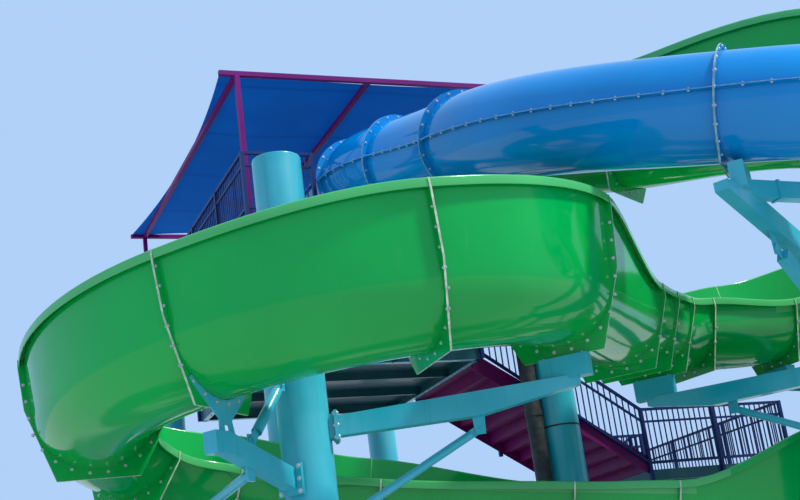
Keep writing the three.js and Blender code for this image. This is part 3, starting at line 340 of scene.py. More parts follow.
class Finish:
    """A material under construction"""

    def __init__(self, name):
        self.material = bpy.data.materials.new(name)
        self.material.use_nodes = True
        self.tree = self.material.node_tree
        self.shader = self.tree.nodes["Principled BSDF"]
        self.place = self.node("ShaderNodeTexCoord", output="Object")

    def node(self, kind, settings=None, inputs=None, output=0):
        """Adds a node; inputs is a list in socket order or a dictionary by the socket's name or number"""
        made = self.tree.nodes.new(kind)
        for key, value in (settings or {}).items():
            setattr(made, key, value)
        pairs = inputs.items() if isinstance(inputs, dict) else enumerate(inputs or ())
        for key, value in pairs:
            self.feed(made.inputs[key], value)
        return Field(self, made.outputs[output])

    def feed(self, socket, value):
        """Links a varying value to a socket, or sets a constant on it"""
        if isinstance(value, Field):
            self.tree.links.new(value.socket, socket)
        else:
            socket.default_value = value

    def noise(self, scale, detail=3.0, roughness=0.5, stretch=None):
        """Noise on Object coordinates, stretched if wanted by a scale for each axis"""
        place = self.place
        if stretch:
            place = self.node("ShaderNodeMapping", {}, {"Vector": place, "Scale": stretch})
        return self.node("ShaderNodeTexNoise", {},
                         {"Vector": place, "Scale": scale, "Detail": detail, "Roughness": roughness})

    def mix(self, share, first, second):
        """Colour between two colours"""
        return self.node("ShaderNodeMix", {"data_type": "RGBA"}, {0: share, 6: first, 7: second}, 2)

    def bump(self, height, distance, strength):
        """Lets a height raise the surface by up to the distance"""
        bumped = self.node("ShaderNodeBump", {},
                           {"Height": height, "Distance": distance, "Strength": strength})
        self.feed(self.shader.inputs["Normal"], bumped)

    def surface(self, **values):
        """Feeds the shader's inputs and returns the finished material"""
        names = {"colour": "Base Color", "rough": "Roughness", "metal": "Metallic", "coat": "Coat Weight",
                 "coat_rough": "Coat Roughness", "specular": "Specular IOR Level"}
        for key, value in values.items():
            self.feed(self.shader.inputs[names[key]], value)
        return self.material


def tone(colour, factor):
    """A darker or lighter tone of a colour, with its alpha"""
    return tuple(min(1.0, c * factor) for c in colour) + (1.0,)


def blend_of(colour, other, share):
    """A colour with some of another in it, with its alpha"""
    return tuple(a + (b - a) * share for a, b in zip(colour, other)) + (1.0,)


FINISHES = {}


def gel_coat(name, colour, faded=0.0):
    """Moulded gel coat: deep colour, a slightly wavy gloss, faint cloudiness and dried water marks"""
    finish = Finish(name)
    broad = finish.noise(0.35, 2.0)
    cloudy = finish.noise(2.2, 4.0)
    marks = finish.noise(2.3, 5.0, 0.65, stretch=(2.0, 2.0, 0.7)).above(0.58, 0.80)
    base = blend_of(colour, (0.42, 0.72, 0.45), faded)[:3]
    body = finish.mix(broad.above(0.3, 0.7), tone(base, 0.88), tone(base, 1.12))
    body = finish.mix(cloudy.above(0.5, 0.85) * 0.16, body, tone(base, 0.72))
    body = finish.mix(marks * 0.10, body, blend_of(base, (0.30, 0.50, 0.36), 0.30))
    scratches = finish.noise(9.0, 6.0, 0.7, stretch=(1.0, 1.0, 9.0))
    waves = finish.noise(0.9, 2.0) * 0.8 + finish.noise(5.0, 2.0) * 0.04
    finish.bump(waves, 0.035, 0.30)
    rough = 0.075 + marks * 0.12 + cloudy * 0.04 + scratches.above(0.6, 0.85) * 0.04 + faded * 0.5
    return finish.surface(colour=body, rough=rough, coat=0.14, coat_rough=0.04, specular=0.30)


def steel_paint(name, colour, gloss=0.32, rust=0.5, fade=0.10, shine=0.5):
    """Brushed or sprayed paint on steel: faded patches, runs of dirt, chips with a little rust"""
    finish = Finish(name)
    patches = finish.noise(0.8, 4.0)
    runs = finish.noise(3.0, 4.0, 0.6, stretch=(4.0, 4.0, 0.22)).above(0.52, 0.75)
    peel = finish.noise(55.0, 2.0)
    chips = finish.noise(16.0, 6.0, 0.75).above(0.70, 0.735)
    zones = finish.noise(1.3, 3.0).above(0.5, 0.68)
    body = finish.mix(patches.above(0.3, 0.75), tone(colour, 0.84), blend_of(colour, (0.62, 0.72, 0.74), fade))
    body = finish.mix(runs * 0.30, body, tone(colour, 0.55))
    bare = chips * zones * rust
    body = finish.mix(bare, body, (0.17, 0.055, 0.02, 1.0))
    finish.bump(peel * 0.4 + bare * -1.0, 0.0012, 0.5)
    rough = gloss + patches * 0.12 + runs * 0.12 + bare * 0.4
    return finish.surface(colour=body, rough=rough, coat=shine * 0.6, coat_rough=0.07, specular=shine)


def bolt_metal():
    """Zinc coat with a fine spangle"""
    finish = Finish("galvanised_steel")
    spangle = finish.noise(120.0, 3.0)
    body = finish.mix(spangle.above(0.35, 0.65), (0.42, 0.45, 0.46, 1.0), (0.74, 0.77, 0.78, 1.0))
    finish.bump(spangle, 0.0005, 0.4)
    return finish.surface(colour=body, rough=0.34 + spangle * 0.2, metal=0.75)


def bare_laminate(name, dark, light):
    """Trimmed edge of the laminate, with a smear of sealant"""
    finish = Finish(name)
    smear = finish.noise(14.0, 4.0)
    body = finish.mix(smear.above(0.35, 0.7), dark, light)
    finish.bump(smear, 0.002, 0.5)
    return finish.surface(colour=body, rough=0.62 + smear * 0.1)


def shade_cloth(colour):
    """Woven cloth: warp and weft over each other, lit through a little"""
    finish = Finish("shade_cloth")

    def bands(direction, scale, distortion):
        return finish.node("ShaderNodeTexWave", {"bands_direction": direction},
                           {"Vector": finish.place, "Scale": scale, "Distortion": distortion})

    weave = bands("X", 130.0, 0.3) * bands("Y", 130.0, 0.3)
    seams = bands("Y", 0.16, 0.0).above(0.985, 0.998)
    patches = finish.noise(0.7, 4.0)
    body = finish.mix(patches.above(0.3, 0.7), tone(colour, 0.85), tone(colour, 1.2))
    body = finish.mix(weave * 0.35, body, tone(colour, 1.5))
    body = finish.mix(seams * 0.6, body, tone(colour, 0.45))
    finish.bump(weave + seams * 2.0, 0.0008, 0.8)
    material = finish.surface(colour=body, rough=0.82, specular=0.2)
    through = finish.node("ShaderNodeBsdfTranslucent", {}, {"Color": tone(colour, 1.6)})
    both = finish.node("ShaderNodeMixShader", {}, [0.45, Field(finish, finish.shader.outputs[0]), through])
    finish.feed(finish.tree.nodes["Material Output"].inputs["Surface"], both)
    return material


def plastic(name, colour):
    """Matt plastic under patches of dust"""
    finish = Finish(name)
    dust = finish.noise(5.0, 5.0, 0.6)
    body = finish.mix(dust.above(0.4, 0.75) * 0.5, colour + (1.0,), blend_of(colour, (0.3, 0.3, 0.28), 0.35))
    finish.bump(finish.noise(60.0, 2.0), 0.0008, 0.4)
    return finish.surface(colour=body, rough=0.45 + dust * 0.2)


def shallow_water():
    """Still water, nearly clear, with hardly a ripple"""
    finish = Finish("still_water")
    ripple = finish.noise(3.0, 3.0)
    body = finish.mix(ripple, (0.03, 0.16, 0.14, 1.0), (0.06, 0.24, 0.22, 1.0))
    finish.bump(ripple, 0.004, 0.3)
    finish.feed(finish.shader.inputs["Alpha"], 0.45 + ripple * 0.1)
    return finish.surface(colour=body, rough=0.03, specular=0.5)


def tread_grit(colour):
    """Anti-slip strip: coarse grit in dark paint"""
    finish = Finish("anti_slip_grit")
    grit = finish.noise(260.0, 2.0)
    body = finish.mix(grit.above(0.4, 0.7), tone(colour, 0.4), tone(colour, 1.1))
    finish.bump(grit, 0.0015, 0.9)
    return finish.surface(colour=body, rough=0.85)


def make_finishes():
    """Fills FINISHES with the materials, in the colours that the panel holds"""
    colours = bpy.context.scene.slide_colours
    FINISHES.update({
        "green": gel_coat("green_gel_coat", tuple(colours.green)),
        "rim": gel_coat("green_rim_gel_coat", tuple(colours.green), 0.16),
        "blue": gel_coat("blue_gel_coat", tuple(colours.blue)),
        "teal": steel_paint("teal_paint", tuple(colours.teal), 0.26),
        # The decks' finish is the teal darkened, painting the shade under the decks.
        "deck": steel_paint("deck_teal_painted_shade", tuple(colours.deck), 0.42, 0.5, 0.05, 0.3),
        "magenta": steel_paint("magenta_paint", tuple(colours.magenta), 0.44, 0.35, 0.02, 0.14),
        "violet": steel_paint("violet_paint", tuple(colours.violet), 0.42, 0.3, 0.01, 0.12),
        "navy": steel_paint("navy_paint", tuple(colours.navy), 0.42, 0.35, 0.02, 0.16),
        "bolt": bolt_metal(),
        "cream": bare_laminate("cream_laminate", (0.34, 0.42, 0.30, 1.0), (0.58, 0.68, 0.50, 1.0)),
        "grey": bare_laminate("grey_laminate", (0.14, 0.27, 0.32, 1.0), (0.30, 0.46, 0.50, 1.0)),
        "cloth": shade_cloth(tuple(colours.fabric)),
        "black": plastic("black_plastic", (0.016, 0.017, 0.019)),
        "grit": tread_grit((0.05, 0.05, 0.055)),
        "water": shallow_water(),
    })


def add_piece(name, bm, finishes, replaces=(), crease=35):
    """Makes the finished bmesh an object that rides with the slide"""
    bmesh.ops.remove_doubles(bm, verts=bm.verts, dist=1e-6)
    bmesh.ops.recalc_face_normals(bm, faces=bm.faces)
    mesh = bpy.data.meshes.new(name)
    bm.to_mesh(mesh)
    bm.free()
    for finish in finishes:
        mesh.materials.append(FINISHES[finish])
    mesh.polygons.foreach_set("use_smooth", [True] * len(mesh.polygons))
    mesh.set_sharp_from_angle(angle=math.radians(crease))
    piece = bpy.data.objects.new(name, mesh)
    bpy.context.scene.collection.objects.link(piece)
    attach(piece, "root")
    if replaces:
        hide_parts(*replaces)
    return piece


def paint(finish, *names):
    """Gives CAD nodes their finish"""
    for name in names:
        materials = NODES[name].data.materials
        materials.clear()
        materials.append(FINISHES[finish])


# Stations along the flume and the tube


def trace(start, walls, runs):
    """The joints of a line, each with its place, heading, pitch and wall heights"""
    x, y, z = start[:3]
    heading = math.radians(start[3])
    joints = [{"place": Vector((x, y, z)), "heading": heading, "walls": walls}]
    for length, turn, drop, *rest in runs:
        steps = max(2 if length > 2.5 else 1, math.ceil(abs(turn) / TURN_STEP))
        bend = math.radians(turn) / steps
        for _ in range(steps):
            x += math.cos(heading + bend / 2) * length / steps
            y += math.sin(heading + bend / 2) * length / steps
            heading += bend
        z -= drop
        joints.append({"place": Vector((x, y, z)), "heading": heading, "walls": tuple(rest) or (0, 0)})
    slopes = [math.atan2(drop, length) for length, _, drop, *_ in runs]
    for i, joint in enumerate(joints):
        joint["pitch"] = 0 if i == 0 else (slopes[i - 1] + slopes[min(i, len(slopes) - 1)]) / 2
    return joints


def between(a, b, share):
    """A station part of the way along a run, on its circle in plan and on a cubic with both slopes in height"""
    turn = b["heading"] - a["heading"]
    chord = (b["place"] - a["place"]).to_2d()
    length = chord.length
    if abs(turn) < 1e-6:
        flat = a["place"].to_2d() + chord * share
    else:
        radius = length / (2 * math.sin(turn / 2))
        reach = 2 * radius * math.sin(turn * share / 2)
        way = a["heading"] + turn * share / 2
        flat = a["place"].to_2d() + Vector((math.cos(way), math.sin(way))) * reach
    rise = b["place"].z - a["place"].z
    slope_a, slope_b = (-math.tan(joint["pitch"]) * length for joint in (a, b))
    square, cube = 3 * rise - 2 * slope_a - slope_b, slope_a + slope_b - 2 * rise
    z = a["place"].z + slope_a * share + square * share ** 2 + cube * share ** 3
    slope = slope_a + 2 * square * share + 3 * cube * share ** 2
    smooth = share ** 2 * (3 - 2 * share)
    walls = tuple(p + (q - p) * smooth for p, q in zip(a["walls"], b["walls"]))
    return {"place": Vector((*flat, z)), "heading": a["heading"] + turn * share,
            "pitch": -math.atan2(slope, length), "walls": walls}


def axes_at(station, along=0.0):
    """Matrix of a station: x to the left, y up across the slope, z ahead"""
    heading, pitch = station["heading"], station["pitch"]
    level = Vector((math.cos(heading), math.sin(heading), 0))
    left = Vector((-math.sin(heading), math.cos(heading), 0))
    ahead = level * math.cos(pitch) - UP * math.sin(pitch)
    up = level * math.sin(pitch) + UP * math.cos(pitch)
    turn = Matrix((left, up, ahead)).transposed().to_4x4()
    return Matrix.Translation(station["place"] + ahead * along) @ turn


def stations_between(joints, first, last, spacing):
    """Stations of the piece between two joints, at most the spacing and three degrees apart"""
    made = []
    for a, b in zip(joints[first:last], joints[first + 1:last + 1]):
        turn = math.degrees(abs(b["heading"] - a["heading"]))
        length = (b["place"] - a["place"]).length
        steps = max(math.ceil(turn / 3), math.ceil(length / spacing))
        made += [between(a, b, k / steps) for k in range(steps)]
    return made + [joints[last]]


def drawn_in(stations):
    """Matrices of a piece's stations, its ends drawn in by half of the gap between neighbours"""
    matrices = [axes_at(s) for s in stations]
    matrices[0] = axes_at(stations[0], END_GAP)
    matrices[-1] = axes_at(stations[-1], -END_GAP)
    return matrices


def flange_places(joints, first, last):
    """The joints of a piece by number, each with the matrix of the back face of a flange beside it"""
    for number in range(first, last + 1):
        if number > first:
            yield number, axes_at(joints[number], -FLANGE_THICK)
        if number < last:
            yield number, axes_at(joints[number], END_GAP)


def sweep(bm, matrices, outlines, caps=True, material=0):
    """Extrudes a closed outline from place to place. Returns the first and the last ring of edges."""

    def ring_edges(ring):
        return [bm.edges.get(pair) for pair in zip(ring, ring[1:] + ring[:1])]

    ring = [bm.verts.new(matrices[0] @ Vector((x, y, 0))) for x, y in outlines[0]]
    for pair in zip(ring, ring[1:] + ring[:1]):
        bm.edges.new(pair)
    first = ring_edges(ring)
    faces = [bm.faces.new(ring)] if caps else []
    for matrix, outline in zip(matrices[1:], outlines[1:]):
        grown = bmesh.ops.extrude_edge_only(bm, edges=ring_edges(ring))["geom"]
        faces += [g for g in grown if isinstance(g, bmesh.types.BMFace)]
        new = {g for g in grown if isinstance(g, bmesh.types.BMVert)}
        ring = [next(e.other_vert(v) for e in v.link_edges if e.other_vert(v) in new) for v in ring]
        for vert, (x, y) in zip(ring, outline):
            vert.co = matrix @ Vector((x, y, 0))
    if caps:
        faces.append(bm.faces.new(ring))
    for face in faces:
        face.material_index = material
    return first, ring_edges(ring)


def rounded(points, radii, steps=3):
    """The points with some corners rounded; radii gives the radius of corners by number"""
    out = []
    for i, point in enumerate(points):
        radius = radii.get(i)
        if not radius:
            out.append(tuple(point))
            continue
        corner = Vector(point)
        a = corner + (Vector(points[i - 1]) - corner).normalized() * radius
        b = corner + (Vector(points[(i + 1) % len(points)]) - corner).normalized() * radius
        for k in range(steps + 1):
            t = k / steps
            out.append(tuple(a * (1 - t) ** 2 + corner * 2 * t * (1 - t) + b * t * t))
    return out


def plate(bm, matrix, outline, thickness, edge=None):
    """A flat plate; its outline lies at the matrix and it grows ahead. Its edge may have its own finish."""
    face = bm.faces.new([bm.verts.new(matrix @ Vector((x, y, 0))) for x, y in outline])
    grown = bmesh.ops.extrude_face_region(bm, geom=[face])["geom"]
    ahead = matrix.to_3x3() @ Vector((0, 0, thickness))
    bmesh.ops.translate(bm, verts=[g for g in grown if isinstance(g, bmesh.types.BMVert)], vec=ahead)
    if edge is not None:
        far = next(g for g in grown if isinstance(g, bmesh.types.BMFace))
        for side in {f for e in far.edges for f in e.link_faces} - {far}:
            side.material_index = edge


def shift(x, y, z=0.0):
    """Matrix of a move"""
    return Matrix.Translation((x, y, z))


def facing(way, axis="Z", up="Y"):
    """Turns an axis, z unless told otherwise, to point along way"""
    return way.to_track_quat(axis, up).to_matrix().to_4x4()


def cone(bm, matrix, foot, top, length, sides, caps=True):
    """A cone or cylinder standing on the matrix, with a radius at its foot and its top. Returns its corners."""
    return bmesh.ops.create_cone(bm, cap_ends=caps, segments=sides, radius1=foot, radius2=top, depth=length,
                                 matrix=matrix @ shift(0, 0, length / 2))["verts"]


def box(bm, matrix, size):
    """A box around the matrix"""
    bmesh.ops.create_cube(bm, size=1.0, matrix=matrix @ Matrix.Diagonal((*size, 1)))


def bolt(bm, matrix, radius):
    """A hexagon head on its washer, pointing ahead of the matrix"""
    cone(bm, matrix, radius * 1.75, radius * 1.65, radius * 0.3, 10)
    cone(bm, matrix @ shift(0, 0, radius * 0.25), radius * 1.1, radius * 0.95, radius * 0.9, 6)


# Flume


def flume_reach(height, outside=0.0):
    """Half of the flume's width inside at a height, and some more outside of it"""
    turned = FLUME_RADIUS * (1 - math.sin(WALL_LEAN))
    if height >= turned:
        return FLUME_RADIUS * math.cos(WALL_LEAN) + (height - turned) * math.tan(WALL_LEAN) + outside
    return math.sqrt(FLUME_RADIUS ** 2 - (FLUME_RADIUS - height) ** 2) + outside


def flume_half(height, side, arc_steps=14):
    """Half of the flume's section: inside from the bottom to the rim, outside back down, flange"""
    turned = FLUME_RADIUS * (1 - math.sin(WALL_LEAN))
    end = math.acos(1 - min(height - 0.06, turned) / FLUME_RADIUS)

    def arc(radius):
        angles = [end * (k + 1) / arc_steps for k in range(arc_steps)]
        return [(side * radius * math.sin(a), FLUME_RADIUS - radius * math.cos(a)) for a in angles]

    half = flume_reach(height)
    edge = half + SHELL + LIP_OUT
    inner = arc(FLUME_RADIUS)
    rim = [
        (side * half, height),
        (side * edge, height),
        (side * edge, height - LIP_DOWN),
        (side * (edge - SHELL), height - LIP_DOWN),
        (side * (edge - SHELL), height - SHELL),
        (side * flume_reach(height - SHELL, SHELL), height - SHELL),
    ]
    outer = arc(FLUME_RADIUS + SHELL)[::-1]
    under_lip = height - LIP_DOWN - 0.020
    knee = [(side * flume_reach(KNEE_UP, SHELL + FLANGE_OUT), KNEE_UP)] if under_lip > KNEE_UP else []
    flange = [(side * (edge + 0.010), height - 0.006), (side * (edge + 0.010), under_lip), *knee,
              (side * FOOT_HALF, -FOOT_DROP)]
    line = rounded([inner[-1], *rim, outer[0]], RIM_ROUNDING)
    return {"inner": inner[:-1], "rim": line, "outer": outer[1:], "flange": flange}


def both_halves(station):
    """The halves of a station's section, left and right"""
    return [flume_half(height, side) for height, side in zip(station["walls"], (1, -1))]


def flume_outline(station):
    """The closed section of the shell"""
    left, right = both_halves(station)
    return [*left["inner"][::-1], (0, 0), *right["inner"], *right["rim"], *right["outer"], (0, -SHELL),
            *left["outer"][::-1], *left["rim"][::-1]]


def flange_outline(station):
    """A flange: inside along the shell, over the tops of both rims, outside down to its foot"""
    left, right = both_halves(station)
    return [*left["rim"][:RIM_TOP_POINTS][::-1], *left["inner"][::-1], (0, 0), *right["inner"],
            *right["rim"][:RIM_TOP_POINTS], *right["flange"], *left["flange"][::-1]]


def flange_bolts(station, spacing):
    """Places of the bolts along a flange, from the middle of its foot up both sides"""
    places = []
    quarter = math.pi / 2 - WALL_LEAN
    radius = FLUME_RADIUS + BOLT_LINE
    shell_arc, arc_end = FLUME_RADIUS * quarter, radius * quarter
    for side, height in zip((1, -1), station["walls"]):
        distance = spacing / 2
        while True:
            if distance <= arc_end:
                angle = distance / radius
                x, y = radius * math.sin(angle), FLUME_RADIUS - radius * math.cos(angle)
            else:
                up = distance - arc_end
                x = radius * math.cos(WALL_LEAN) + up * math.sin(WALL_LEAN)
                y = FLUME_RADIUS - radius * math.sin(WALL_LEAN) + up * math.cos(WALL_LEAN)
            if y > height - LIP_DOWN - 0.03 or (height < shell_arc and distance > shell_arc):
                break
            places.append((side * x, y))
            distance += spacing
    return places


def build_flume_piece(name, first, last, joints):
    """A moulded length of flume with a bleached rim, and its flanges with bare edges"""
    bm = bmesh.new()
    stations = stations_between(joints, first, last, 0.22)
    sweep(bm, drawn_in(stations), [flume_outline(s) for s in stations])
    for face in bm.faces:
        station = min(stations, key=lambda s: (s["place"] - face.calc_center_median()).length_squared)
        local = axes_at(station).inverted() @ face.calc_center_median()
        wall = station["walls"][0 if local.x > 0 else 1]
        if local.y > wall - LIP_DOWN - 0.005 and abs(local.x) > flume_reach(wall) - 0.004:
            face.material_index = 1
    for number, matrix in flange_places(joints, first, last):
        plate(bm, matrix, flange_outline(joints[number]), FLANGE_THICK - END_GAP, edge=2)
    return add_piece(f"{name}_shell", bm, ["green", "rim", "cream"], [name])


def build_flume_bolts(joints, sizes):
    """Bolt heads and nuts on both faces of every flange"""
    bm = bmesh.new()
    turned = Matrix.Rotation(math.pi, 4, "Y")
    for number, joint in enumerate(joints):
        for x, y in flange_bolts(joint, sizes.bolt_spacing):
            if number > 0:
                angle = math.degrees(math.atan2(y - FLUME_RADIUS, x))
                saddle = SADDLE_THICK + FACE_GAP if number == SADDLE_JOINT and -128 < angle < -46 else 0
                bolt(bm, axes_at(joint, -FLANGE_THICK - saddle) @ shift(x, y) @ turned, sizes.bolt_radius)
            if number < len(joints) - 1:
                bolt(bm, axes_at(joint, FLANGE_THICK) @ shift(x, y), sizes.bolt_radius)
    return add_piece("flume_bolts", bm, ["bolt"])


# Tube


def circle(radius, sides=48, start=0.0, end=2 * math.pi):
    """Points of a circle, or of the arc from start to end"""
    count = sides if end - start > 6.28 else sides + 1
    angles = [start + (end - start) * k / sides for k in range(count)]
    return [(radius * math.cos(a), radius * math.sin(a)) for a in angles]


def band(x0, x1, half):
    """Section of a flat band between two x, with half of its thickness on each side"""
    return [(x0, -half), (x1, -half), (x1, half), (x0, half)]


def build_tube_piece(name, first, last, joints):
    """A moulded length of tube with a seam on each side, and its round flanges, both with bare edges"""
    bm = bmesh.new()
    stations = stations_between(joints, first, last, 0.25)
    matrices = drawn_in(stations)
    outer = TUBE_RADIUS + SHELL
    ring_edge = outer + RING_OUT
    ends = [sweep(bm, matrices, [circle(radius)] * len(stations), caps=False) for radius in (outer, TUBE_RADIUS)]
    for mouth in (0, 1):
        bmesh.ops.bridge_loops(bm, edges=ends[0][mouth] + ends[1][mouth])
    for side in (1, -1):
        lip = side * (outer + SEAM_OUT)
        seam = band(side * (outer - 0.004), lip, SEAM_THICK / 2)
        bare_edge = band(lip - side * 0.001, lip + side * 0.0015, 0.004)
        for finish, section in enumerate((seam, bare_edge)):
            sweep(bm, matrices, [section] * len(stations), material=finish)
    thick = FLANGE_THICK - END_GAP
    start, end = (math.radians(angle) for angle in TUBE_FOOT_ARC)
    for number, matrix in flange_places(joints, first, last):
        corners = [(TUBE_RADIUS, 0), (ring_edge, 0), (ring_edge, thick), (TUBE_RADIUS, thick)]
        ring = [bm.verts.new(matrix @ Vector((x, 0, z))) for x, z in corners]
        edges = [bm.edges.new(pair) for pair in zip(ring, ring[1:] + ring[:1])]
        older = set(bm.faces)
        bmesh.ops.spin(bm, geom=ring + edges, cent=matrix.translation, axis=matrix.to_3x3() @ UP,
                       angle=2 * math.pi, steps=48, use_merge=True)
        for face in set(bm.faces) - older:
            local = matrix.inverted() @ face.calc_center_median()
            if math.hypot(local.x, local.y) > ring_edge - 0.005:
                face.material_index = 1
        if number in TUBE_FEET:
            reach = ring_edge - 0.01
            foot = [(reach * math.cos(start), reach * math.sin(start)), (-TUBE_FOOT_HALF, -TUBE_FOOT_DROP),
                    (TUBE_FOOT_HALF, -TUBE_FOOT_DROP), (reach * math.cos(end), reach * math.sin(end))]
            plate(bm, matrix, foot + circle(outer + 0.02, 16, start, end)[::-1], thick, edge=1)
    return add_piece(f"{name}_shell", bm, ["blue", "grey"], [name])


def build_tube_bolts(joints, sizes):
    """Bolt heads and nuts around the ring flanges and along the seams"""
    bm = bmesh.new()
    turned = Matrix.Rotation(math.pi, 4, "Y")
    ring_radius = TUBE_RADIUS + SHELL + RING_BOLT_LINE
    count = round(2 * math.pi * ring_radius / sizes.bolt_spacing)
    for number, joint in enumerate(joints):
        for k in range(count):
            angle = 2 * math.pi * (k + 0.5) / count
            aside = shift(ring_radius * math.cos(angle), ring_radius * math.sin(angle))
            if number > 0:
                bolt(bm, axes_at(joint, -FLANGE_THICK) @ aside @ turned, sizes.bolt_radius)
            if number < len(joints) - 1:
                bolt(bm, axes_at(joint, FLANGE_THICK) @ aside, sizes.bolt_radius)
    for a, b in zip(joints, joints[1:]):
        length = (b["place"] - a["place"]).length
        gaps = round(length / (sizes.bolt_spacing * 1.2))
        for k in range(1, gaps):
            station = axes_at(between(a, b, k / gaps))
            for side in (1, -1):
                x = side * (TUBE_RADIUS + SHELL + SEAM_BOLT_LINE)
                for above in (1, -1):
                    turn = Matrix.Rotation(-above * math.pi / 2, 4, "X")
                    bolt(bm, station @ shift(x, above * SEAM_THICK / 2) @ turn, sizes.bolt_radius)
    return add_piece("tube_bolts", bm, ["bolt"])


# Steelwork


def build_column(name, x, y, height):
    """The smooth pipe of a column with a closed top, a weld and gussets, on the solid's base plate"""
    bm = bmesh.new()
    height += 2 * OVER_SOLID
    radius = COLUMN_RADIUS + OVER_SOLID
    pipe = cone(bm, shift(x, y), radius, radius, height, 64)
    high = height - 0.001
    top = {e for v in pipe if v.co.z > high for e in v.link_edges if e.other_vert(v).co.z > high}
    bmesh.ops.bevel(bm, geom=list(top), offset=0.018, segments=4, affect="EDGES", profile=0.5, material=-1)
    cone(bm, shift(x, y, BASE_THICK), COLUMN_RADIUS + 0.016, radius, 0.014, 48)
    for k in range(GUSSETS):
        around = Matrix.Rotation(2 * math.pi / GUSSETS * k, 4, "Z")
        upright = shift(x, y) @ around @ Matrix.Rotation(math.pi / 2, 4, "X")
        reach = GUSSET_TO_SIDE if k % 2 == 0 else GUSSET_TO_CORNER
        outline = [(COLUMN_RADIUS - 0.01, BASE_THICK), (reach, BASE_THICK), (reach, 0.06),
                   (COLUMN_RADIUS + 0.01, 0.21), (COLUMN_RADIUS - 0.01, 0.21)]
        plate(bm, upright @ shift(0, 0, -0.006), outline, 0.012)
    return add_piece(f"{name}_pipe", bm, ["teal"])


def build_anchors():
    """Anchor bolts with nuts at the corners of the base plates"""
    bm = bmesh.new()
    for x, y, _ in COLUMNS.values():
        for dx in (-BASE_BOLTS, BASE_BOLTS):
            for dy in (-BASE_BOLTS, BASE_BOLTS):
                base = shift(x + dx, y + dy, BASE_THICK)
                bolt(bm, base, 0.026)
                cone(bm, base, 0.014, 0.014, 0.09, 10)
    return add_piece("anchor_bolts", bm, ["bolt"])


def foot_level(joint, drop):
    """Level just under the foot of a joint flange"""
    lowest = joint["place"].z - drop * math.cos(joint["pitch"]) - FLANGE_THICK * math.sin(joint["pitch"])
    return lowest - FACE_GAP


def build_posts(joints):
    """The smooth pipes of the posts, each with a weld at its base plate and four anchor bolts"""
    pipes, anchors = bmesh.new(), bmesh.new()
    for number, back in POSTS.values():
        joint = joints[number]
        heading = joint["heading"]
        spot = joint["place"] - Vector((math.cos(heading), math.sin(heading), 0)) * back
        height = foot_level(joint, FOOT_DROP) - POST_HEAD
        foot = shift(spot.x, spot.y) @ Matrix.Rotation(heading, 4, "Z")
        radius = POST_RADIUS + OVER_SOLID
        cone(pipes, foot, radius, radius, height, 40)
        cone(pipes, foot @ shift(0, 0, POST_BASE_THICK), POST_RADIUS + 0.011, radius, 0.010, 40)
        for dx in (-POST_BOLTS, POST_BOLTS):
            for dy in (-POST_BOLTS, POST_BOLTS):
                bolt(anchors, foot @ shift(dx, dy, POST_BASE_THICK), 0.018)
    add_piece("post_pipes", pipes, ["teal"])
    return add_piece("post_anchors", anchors, ["bolt"])


def end_plates(bm, outwards, out, half, above, below):
    """Two plates face to face across an arm, out along it"""
    across_arm = Matrix(((0, 0, 1), (1, 0, 0), (0, 1, 0))).to_4x4()
    outline = [(-half, above), (half, above), (half, below), (-half, below)]
    for start in (out - END_PLATE_THICK, out + FACE_GAP):
        plate(bm, outwards @ shift(start, 0) @ across_arm, outline, END_PLATE_THICK)


def end_bolts(bm, outwards, out, half, above, below):
    """Three bolts down each side of a pair of plates"""
    faces = ((out + FACE_GAP + END_PLATE_THICK, facing(Vector((1, 0, 0)))),
             (out - END_PLATE_THICK, facing(Vector((-1, 0, 0)))))
    for side in (BOLT_MARGIN - half, half - BOLT_MARGIN):
        for level in (above - BOLT_MARGIN, (above + below) / 2, below + BOLT_MARGIN):
            for start, turn in faces:
                bolt(bm, outwards @ shift(start, side, level) @ turn, 0.017)


def build_arm_ends(lines):
    """End plates where arms meet the stubs of columns and the beam its splice, and bolts on the heads"""
    plates, bolts = bmesh.new(), bmesh.new()
    for name, (column, line, number, drop, rise, droop) in ARMS.items():
        x, y, _ = COLUMNS[column]
        joint = lines[line][number]
        heading = math.atan2(joint["place"].y - y, joint["place"].x - x)
        head = foot_level(joint, drop) if drop else joint["place"].z
        top = head - rise - droop
        outwards = shift(x, y) @ Matrix.Rotation(heading, 4, "Z")
        size = (END_PLATE_HALF, top + END_PLATE_MARGIN, top - ARM_DEPTH - END_PLATE_MARGIN)
        end_plates(plates, outwards, STUB_REACH, *size)
        end_bolts(bolts, outwards, STUB_REACH, *size)
        if name == "beam_tube":
            reach = math.hypot(joint["place"].x - x, joint["place"].y - y)
            end_plates(plates, outwards, reach - BEAM_SPLICE, SPLICE_HALF, top + SPLICE_MARGIN,
                       top - BEAM_DEPTH - SPLICE_MARGIN)
        if drop:
            foot = shift(joint["place"].x, joint["place"].y, head) @ Matrix.Rotation(joint["heading"], 4, "Z")
            for side in (-0.24, 0.24):
                for out in (-0.06, 0.06):
                    bolt(bolts, foot @ shift(out, side), 0.014)
    add_piece("arm_end_plates", plates, ["teal"])
    return add_piece("arm_bolts", bolts, ["bolt"])


def longest_line(name):
    """Middle, direction and half of the length of a straight bar, from the corners of its solid"""
    points = [v.co.copy() for v in NODES[name].data.vertices]
    middle = sum(points, Vector()) / len(points)
    way = max((p - middle for p in points), key=lambda v: v.length).normalized()
    for _ in range(20):
        total = Vector()
        for p in points:
            total += (p - middle) * (p - middle).dot(way)
        way = total.normalized()
    low = min((p - middle).dot(way) for p in points)
    high = max((p - middle).dot(way) for p in points)
    middle += way * (low + high) / 2
    return middle, way, (high - low) / 2


